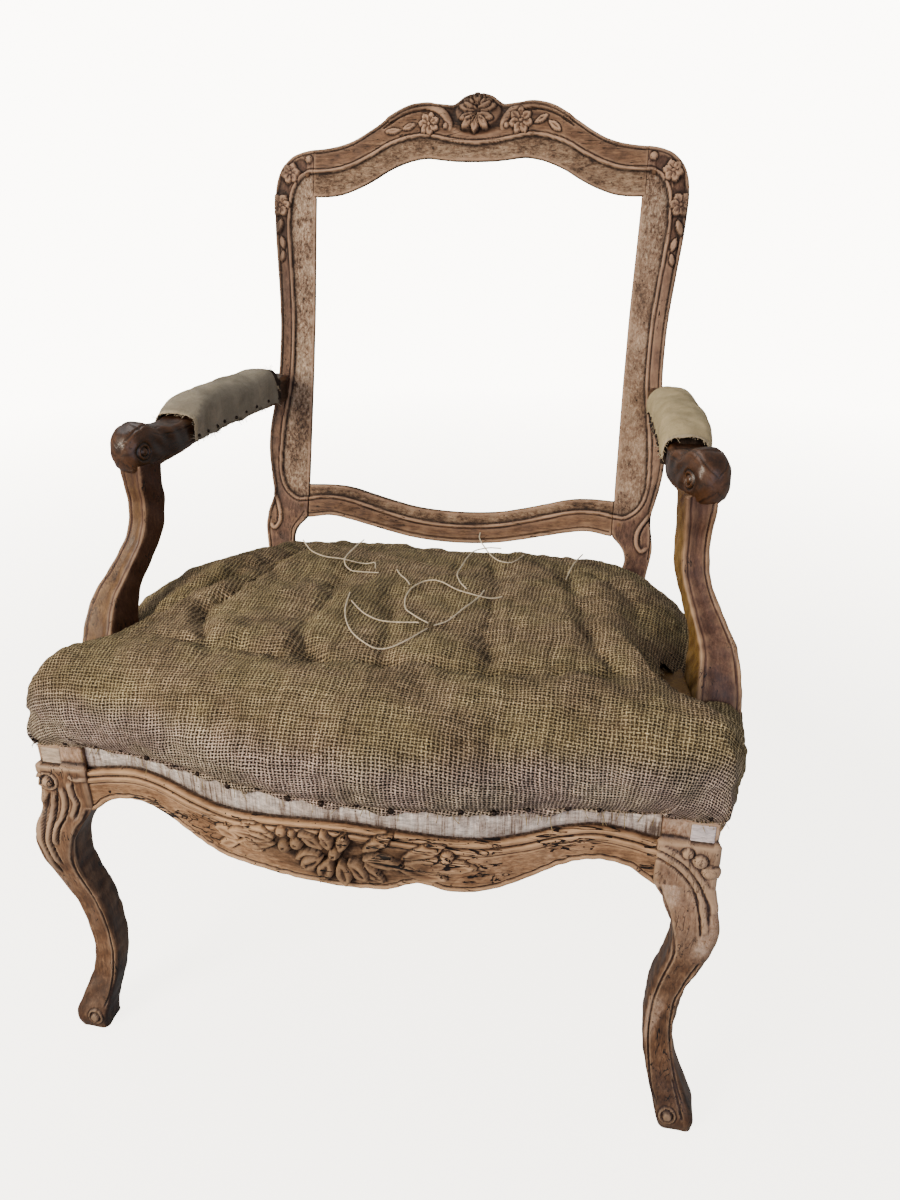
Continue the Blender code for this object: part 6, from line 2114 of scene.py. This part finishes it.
    def build_webs(self) -> None:
        """Builds the eight straps, the lengthwise ones lying over the others."""
        finish = self.jute.dress()
        cross, long = (-0.205, -0.055, 0.025, 0.105), (-0.145, -0.05, 0.05, 0.145)
        half, thick, low = 0.024, 0.0014, RAIL_TOP + GAP
        for kind, places in (("cross", cross), ("long", long)):
            for index, place in enumerate(places):
                if kind == "cross":
                    (outer,) = read(SeatFrame.side, place)[0]
                    start, end, level = -(outer - 0.014), outer - 0.014, low
                else:
                    (face, _, _) = read(SeatFrame.front, abs(place) + half)[0]
                    start, end, level = face + 0.013, 0.196, low + thick + GAP
                run = spaced(start, end, 0.005)
                side = np.concatenate([np.linspace(-half, half, 13), np.linspace(half, -half, 13)])
                top = np.repeat([thick, 0.0], 13)
                u, v = np.broadcast_arrays(run[:, None], side[None])
                sag = 0.0005 * np.sin(math.pi * (u - start) / (end - start))
                z = level + top - sag + 0.0002 * ripple(np.stack([u, v], -1), 0.03, 97 + index)
                if kind == "cross":
                    points = np.stack([u, place + v, z], -1)
                else:
                    points = np.stack([place + v, u, z], -1)
                shell = Shell(f"{kind}_strap_{index + 1}")
                marks = {"cloth": np.stack([u, v, 0 * u], -1)}
                shell.solid(points, marks)
                made = shell.piece(finish, [f"{kind}_web_{index + 1}"])

    def build(self) -> BVHTree:
        """Builds the whole upholstery and returns the tree of its top."""
        tree = self.build_scrim()
        self.build_stuffing()
        self.build_canvas()
        self.build_webs()
        return tree


@dataclass
class ArmPads:
    """Small hair pads on the arms under tacked calico."""

    arms: Arms
    spans: dict[Hand, tuple[float, float]] = field(
        default_factory=lambda: {Hand.LEFT: (0.72, 3.62), Hand.RIGHT: (1.22, 4.06)}
    )
    side: float = 0.0055
    rise: float = 0.016
    domed: float = 0.72  # share of the section that is dome; the rest hangs as a skirt
    skirt: float = 0.008  # height of the skirt's upper edge over the arm's middle
    hair: Fibre = Fibre("matted horsehair of the arm pads", "#0f0a07", "#35251a", 0.0006)
    nap: Fibre = Fibre("frayed calico yarn", "#a08c70", "#e2d3b6", 0.0003)

    def section(self, hand: Hand, index: Array, grow: Array, low: Array, sink: Array | float = 0.0) -> Array:
        """Dome of a pad over the arm, from its inner to its outer lower edge.

        Args:
            hand: Which arm.
            index: Position along the arm, counted in the rows of its path.
            grow: Height over the pad, for each section and sample.
            low: How far below the arm's middle the edges reach, for each section, inner and outer.
            sink: How much flatter the dome is at each section.

        Returns:
            A grid of points in right-hand form.
        """
        fine, _, _ = self.arms.line(hand)
        stations = np.arange(len(fine)) / 100.0
        rows = resample(fine, stations, index)
        ahead = directions(resample(np.gradient(fine[:, :2], axis=0), stations, index))
        across = np.stack([-ahead[:, 1], ahead[:, 0], 0 * index], -1)
        turn = np.linspace(-1.0, 1.0, grow.shape[1])
        wall = ease(np.abs(turn), self.domed, 1.0)
        angle = held(np.abs(turn) / self.domed) * math.pi / 2
        wide = rows[:, 3:4] / 2 + self.side
        tall = rows[:, 4:5] / 2 + self.rise - self.skirt - np.broadcast_to(sink, index.shape)[:, None]
        u = np.sign(turn) * np.sin(angle) ** 0.8 * (wide + grow)
        base = self.skirt * (1 - wall)
        drop = np.where(turn < 0, low[:, :1], low[:, 1:])
        v = self.skirt + (tall + grow) * np.cos(angle) ** 0.72
        v = np.where(np.abs(turn) < self.domed, v, base - wall * drop)
        points = rows[:, None, :3] + across[:, None] * u[..., None]
        return points + np.array([0, 0, 1.0]) * v[..., None]

    def pad(self, hand: Hand, finish: bpy.types.Material) -> None:
        """Builds the hair under one cover, which shows at its ends."""
        first, last = self.spans[hand]
        last -= 0.22 if hand is Hand.LEFT else 0.2
        index = spaced(first, last, 0.045)
        share = (index - first) / (last - first)
        close = np.sqrt(np.clip(1 - (2 * share - 1) ** 8, 0.02, 1))[:, None]
        low = np.full((len(index), 2), 0.008)
        grow = np.zeros((len(index), 45))
        dome_points = self.section(hand, index, grow, low)
        grow = 0.0009 * ripple(dome_points, 0.012, 101 + hand.value) - 0.0125 * (1 - close)
        sink = 0.007 * ease(share, 0.7, 1.0)
        dome_points = self.section(hand, index, grow - 0.0008, low, sink)
        inner = self.section(hand, index, grow - 0.0045, low, sink)[:, ::-1][:, 1:-1]
        shell = Shell(f"{hand.word}_hair_pad")
        shell.solid(mirror(np.concatenate([dome_points, inner], 1), hand))
        made = shell.piece(finish, [f"{hand.word}_arm_pad"])

    def cover(self, hand: Hand, finish: bpy.types.Material) -> None:
        """Builds the tacked calico over one pad, puckered and torn along its edges."""
        first, last = self.spans[hand]
        first, last = (first + 0.2, last + 0.05) if hand is Hand.LEFT else (first + 0.02, last - 0.08)
        index = spaced(first, last, 0.025)
        turn = np.linspace(-1.0, 1.0, 57)
        tack = np.sin(index * 5.1 + 0.6 * hand.value) ** 2
        edge = np.stack([index, 0 * index], -1)
        low = 0.0105 + 0.0012 * np.stack([ripple(edge, 0.6, 111), ripple(edge, 0.6, 112)], -1)
        low = low - 0.0022 * (1 - tack)[:, None]
        if hand is Hand.RIGHT:
            low[:, 0] -= 0.0155 - 0.0035 * ease(index, last - 0.35, last)
        spots = self.section(hand, index, np.zeros((len(index), len(turn))), low)
        pull = (1 - tack)[:, None] * ease(np.abs(turn), 0.3, 0.9)
        grow = 0.002 + 0.0008 * ripple(spots, 0.034, 113 + hand.value)
        grow = grow - 0.0009 * held(1.0 - np.abs(ripple(spots, 0.03, 114)) * 5.0) ** 2
        share = (index - first) / (last - first)
        grow = np.maximum(grow - 0.0004 * pull, 0.0004)
        grow = grow + 0.0016 * ease(share, 0.955, 0.98)[:, None]
        ends = (0.5, 0.35) if hand is Hand.LEFT else (0.8, 0.4)
        sink = (0.0095 if hand is Hand.LEFT else 0.0055) * ease(share, 0.72, 1.0) ** 1.5
        shut = ends[0] * (1 - ease(share, 0.0, 0.13)) ** 2 + ends[1] * ease(share, 0.86, 1.0) ** 2
        grow = grow - 0.0125 * shut[:, None]
        points = self.section(hand, index, grow, low, sink)
        across = np.cumsum(np.linalg.norm(np.diff(points, axis=1, prepend=points[:, :1]), axis=2), 1)
        run = np.cumsum(np.linalg.norm(np.diff(points, axis=0, prepend=points[:1]), axis=2), 0)
        marks = {"cloth": np.stack([across, run, 0 * run], -1)}
        margin = ease(np.abs(turn), 0.9, 0.93) * (np.abs(turn) < 0.97)
        pinned = 2.0 * held(1.0 - 12.0 * (1 - tack))[:, None] * margin
        # painted shade in the creases pulled between the tacks; dark marks at the tacks; the lowest edges
        # darker
        marks["grime_and_shade"] = held(pull * 0.4 + pinned + 0.5 * ease(np.abs(turn), 0.955, 1.0))
        torn = ease(share, 0.95, 0.97) + ease(0.03 - share, 0.0, 0.02) * (hand is Hand.LEFT)
        marks["zone"] = held(torn[:, None] + 0 * grow)
        shell = Shell(f"{hand.word}_calico_cover")
        placed = mirror(points, hand)
        shell.grid(placed, marks)
        made = shell.piece(finish, [f"{hand.word}_arm_calico"])
        torn_threads = self.fray(hand, placed)
        self.tacks(hand, placed)
        thick = made.modifiers.new("thickness", "SOLIDIFY")
        thick.thickness = 0.0007
        thick.offset = 0.0
        f"{hand.word}_hair_pad"

    def tacks(self, hand: Hand, cloth: Array) -> None:
        """Tack heads along both lower edges of one cover, 16 to 24 mm apart."""
        draw = np.random.default_rng(130 + hand.value)
        shell = Shell(f"{hand.word}_pad_tacks")
        for column in (3, -4):
            row = 7
            while row < len(cloth) - 5:
                place = cloth[row, column]
                way = directions((place - cloth[row].mean(axis=0))[:2])
                tack_head(
                    shell, place + [*(way * 0.0006), draw.uniform(-0.0015, 0.001)], way,
                    draw.uniform(0.0013, 0.0021)
                )
                row += int(draw.integers(9, 15))
        shell.piece(Iron().dress(), [])

    def fray(self, hand: Hand, cloth: Array) -> bpy.types.Object:
        """Pale threads and nap along the torn rims of one cover.

        Args:
            hand: Which arm.
            cloth: The cover's points, a row for each section.

        Returns:
            The piece that holds the threads.
        """
        draw = np.random.default_rng(120 + hand.value)
        shell = Shell(f"{hand.word}_calico_threads")
        rims = (
            (cloth[-1], cloth[-1] - cloth[-3], 60, 0.0036), (cloth[0], cloth[0] - cloth[2], 100, 0.006),
            (cloth[:, 0], cloth[:, 0] - cloth[:, 3], 80, 0.004),
            (cloth[:, -1], cloth[:, -1] - cloth[:, -4], 80, 0.004)
        )
        for rim, outward, count, longest in rims:
            outward = directions(outward)
            for index in draw.integers(2, len(rim) - 2, size=count):
                length = draw.uniform(0.25, 1.0) * longest
                way = 0.7 * outward[index] + draw.normal(0, 0.65, 3)
                path = rim[index] + np.outer(np.linspace(-0.2, 1.0, 5) * length, way)
                path += np.outer(np.linspace(0, 1, 5) ** 2 * length, draw.normal(0, 0.45, 3))
                SeatUpholstery.thread(shell, path, draw.uniform(0.00014, 0.0003))
        return shell.piece(self.nap.dress(), [])

    def build(self) -> None:
        """Builds and dresses both pads."""
        hair = self.hair.dress()
        for hand, (shade, yarn, glint) in (
            (Hand.LEFT, ("#7a7160", "#978e7d", "#b2a896")), (Hand.RIGHT, ("#9a8862", "#bfac84", "#d6c6a0"))
        ):
            calico = Weave(
                name=f"soiled calico of the {hand.word} pad", pitch=0.0009, gap=0.05, hole="#4d4533",
                shade=shade, yarn=yarn, glint=glint, second=("#96846a", "#c8b492", "#e6d8ba"), deep=0.0003,
                hairs=0.5, tone=0.04, fuzz=(0.3, 0.3)
            ).dress()
            self.pad(hand, hair)
            self.cover(hand, calico)


@dataclass
class LooseTwine:
    """Ends of stitching twine left lying on the seat."""

    radius: float = 0.0007
    step: float = 0.0032
    calm: int = 14  # points each way over which its height is evened
    lengths: tuple[float, ...] = (0.11, 0.09, 0.05, 0.19, 0.08, 0.15, 0.13, 0.09, 0.17, 0.07)
    # x, y and height over the scrim
    routes: tuple[Table, ...] = (
        (
            (-0.04, -0.036, 0.0), (-0.046, -0.019, 0.001), (-0.06, -0.013, 0.001), (-0.08, -0.017, 0.001),
            (-0.1, -0.019, 0.001), (-0.118, -0.017, 0.007), (-0.129, -0.008, 0.016)
        ),
        (
            (-0.034, -0.045, 0.0), (-0.05, -0.046, 0.001), (-0.064, -0.044, 0.003), (-0.076, -0.029, 0.006),
            (-0.072, -0.005, 0.012), (-0.064, 0.007, 0.022)
        ),
        ((-0.017, -0.034, 0.0), (-0.004, -0.058, 0.002), (0.007, -0.076, 0.0)),
        (
            (0.042, -0.149, 0.0), (0.029, -0.141, 0.001), (0.015, -0.124, 0.001), (0.008, -0.098, 0.001),
            (0.011, -0.078, 0.001), (0.021, -0.064, 0.0), (0.037, -0.064, 0.0), (0.058, -0.078, 0.0),
            (0.087, -0.083, 0.0), (0.101, -0.077, 0.0)
        ),
        (
            (0.048, -0.151, 0.0), (0.06, -0.141, 0.0), (0.069, -0.12, 0.001), (0.079, -0.094, 0.003),
            (0.083, -0.076, 0.004)
        ),
        (
            (0.065, -0.075, 0.0), (0.056, -0.062, 0.001), (0.048, -0.036, 0.001), (0.047, -0.002, 0.003),
            (0.052, 0.034, 0.006), (0.066, 0.047, 0.009), (0.082, 0.047, 0.01)
        ),
        (
            (0.106, 0.06, 0.0), (0.104, 0.03, 0.0), (0.095, 0.014, 0.0), (0.08, 0.018, 0.006),
            (0.064, 0.037, 0.014), (0.056, 0.055, 0.02), (0.055, 0.066, 0.027)
        ),
        ((-0.041, -0.119, 0.0), (-0.02, -0.142, 0.001), (0.002, -0.15, 0.001), (0.034, -0.151, 0.0)),
        (
            (-0.047, -0.104, 0.0), (-0.04, -0.143, 0.001), (-0.025, -0.175, 0.001), (-0.006, -0.193, 0.002),
            (0.012, -0.194, 0.002), (0.028, -0.184, 0.001), (0.043, -0.157, 0.0)
        ),
        ((0.158, 0.0, 0.0), (0.163, 0.03, 0.003), (0.171, 0.071, 0.009))
    )

    def build(self, seat: BVHTree) -> None:
        finish = Fibre("flax stitching twine", "#a8977a", "#efe2c8", 0.0007).dress()
        for number, route in enumerate(self.routes):
            rows = np.array(route)
            fine = along(rows, np.linspace(0, len(rows) - 1, 20 * len(rows)))
            points = []
            for x, y, lift in fine:
                hit = seat.ray_cast(Vector((x, y, 1.0)), Vector((0.0, 0.0, -1.0)))[0]
                points.append((x, y - FOOTPRINT_Y, hit.z + self.radius * 1.2 + max(lift, 0.0)))
            points = np.array(points)
            window = 2 * self.calm + 1
            padded = np.pad(points[:, 2], self.calm, mode="edge")
            points[:, 2] = np.convolve(padded, np.full(window, 1 / window), "valid") + 0.0006
            reached = walked(points)
            wanted = spaced(0.0, reached[-1], self.step)
            places = resample(points, reached, wanted)
            name = f"twine_end_{number + 1}"
            curve = bpy.data.curves.new(name, "CURVE")
            curve.dimensions = "3D"
            curve.bevel_depth = self.radius
            curve.bevel_resolution = 2
            curve.use_fill_caps = True
            strand = curve.splines.new("POLY")
            strand.points.add(len(places) - 1)
            for point, place in zip(strand.points, places.tolist()):
                point.co = (*place, 1.0)
            curve.materials.append(finish)
            made = bpy.data.objects.new(name, curve)
            show(made)
            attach(made, "root")
            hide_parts(f"twine_{number + 1}")
            log.info("%s: %.3f m", name, reached[-1])


@dataclass
class Fittings:
    """Oak pegs of the joints, and the two pieces of new wood let into the front corners."""

    # radius of each ring of a peg, and how far in it lies
    rings: Table = ((0.0012, -0.0006), (0.0024, -0.0004), (0.0029, 0.0001), (0.003, 0.0006), (0.003, 0.016))

    def dowel(self, shell: Shell, start: tuple[float, float, float], way: tuple[float, float, float]) -> None:
        """Adds a peg with a slightly domed end at start, running into the wood."""
        way = np.array(way, float)
        u = directions(np.cross(way, Z_WAY if abs(way[2]) < 0.5 else X_WAY))
        v = np.cross(way, u)
        turn = np.arange(20) * 2 * math.pi / 20
        ring = np.outer(np.cos(turn), u) + np.outer(np.sin(turn), v)
        rings = np.array([np.array(start) + ring * radius + way * run for radius, run in self.rings])
        shell.solid(rings, {"worn": np.full(rings[..., 0].size, 0.4)})

    def build(self, back: BackFrame) -> None:
        """Builds the pegs and the patches."""
        oak = OldWood(
            name="oak of the pegs", dark="#33200f", mid="#5c4029", light="#7a5a3c", dirt="#1a0d05",
            bare="#94745a", zone=("#33200f", "#5c4029", "#7a5a3c"), fibre=(1.0, 1.0, 1.0), holes=0.0
        ).dress()
        shell = Shell("oak_pegs")
        nodes = []
        slope = math.hypot(1.0, back.rake)
        behind = (0.0, 1.0 / slope, -back.rake / slope)
        for hand in Hand:
            side = float(hand.value)
            for x, z in ((0.217, 0.8405), (0.208, 0.4405)):
                self.dowel(shell, (side * x, back.y0 + back.rake * (z - back.z0) + 0.0002, z), behind)
            for z in (0.312, 0.33):
                self.dowel(shell, (side * 0.272, -0.2672, z), (0.0, 1.0, 0.0))
                self.dowel(shell, (side * 0.31, -0.2245, z), (-side, 0.0, 0.0))
            self.dowel(shell, (side * 0.2632, 0.2583, 0.586), (-side, 0.0, 0.0))
            nodes += [
                f"{hand.word}_{word}" for word in ("crest_peg", "lower_peg", "front_peg_1", "front_peg_2")
            ]
            nodes += [f"{hand.word}_{word}" for word in ("side_peg_1", "side_peg_2", "arm_peg")]
        shell.piece(oak, nodes)
        for hand, dark, mid, light in (
            (Hand.LEFT, "#a8927c", "#c4b09a", "#d8c8b4"), (Hand.RIGHT, "#b8a6a6", "#cfc2c2", "#e4dcda")
        ):
            pale = OldWood(
                name=f"new wood let into the {hand.word} corner", dark=dark, mid=mid, light=light,
                dirt="#6e5a4c", bare=light, zone=(dark, mid, light), fibre=(0.1, 1.0, 1.0), holes=0.08,
                cracks=0.0
            ).dress()
            z = spaced(0.3331, 0.35, 0.0012)
            centre = np.stack([0 * z + 0.29665, 0 * z - 0.2598, z], -1)
            bar = Bar(centre, X_WAY, -Y_WAY, (0.0098, 0.0026), 0.0005, (16, 4, 4))
            shell = Shell(f"{hand.word}_let_in_patch")
            lift = 0.0002 * ripple(bar.place(), 0.006, 121)
            shell.solid(mirror(bar.place(lift), hand), {"grime_and_shade": 0 * lift})
            shell.piece(pale, [f"{hand.word}_corner_patch"])


def main() -> None:
    """Builds the armchair in order and reports each piece."""
    logging.basicConfig(level=logging.INFO, format="%(message)s", stream=sys.stdout, force=True)
    studio, back, frame_parts, arms = Studio(), BackFrame(), SeatFrame(), Arms()
    studio.camera()
    seat = SeatUpholstery(SeatForm(), arms).build()
    LooseTwine().build(seat)
    back.build()
    frame_parts.build()
    arms.build()
    ArmPads(arms).build()
    Fittings().build(back)
    studio.build()


if __name__ == "__main__":
    main()
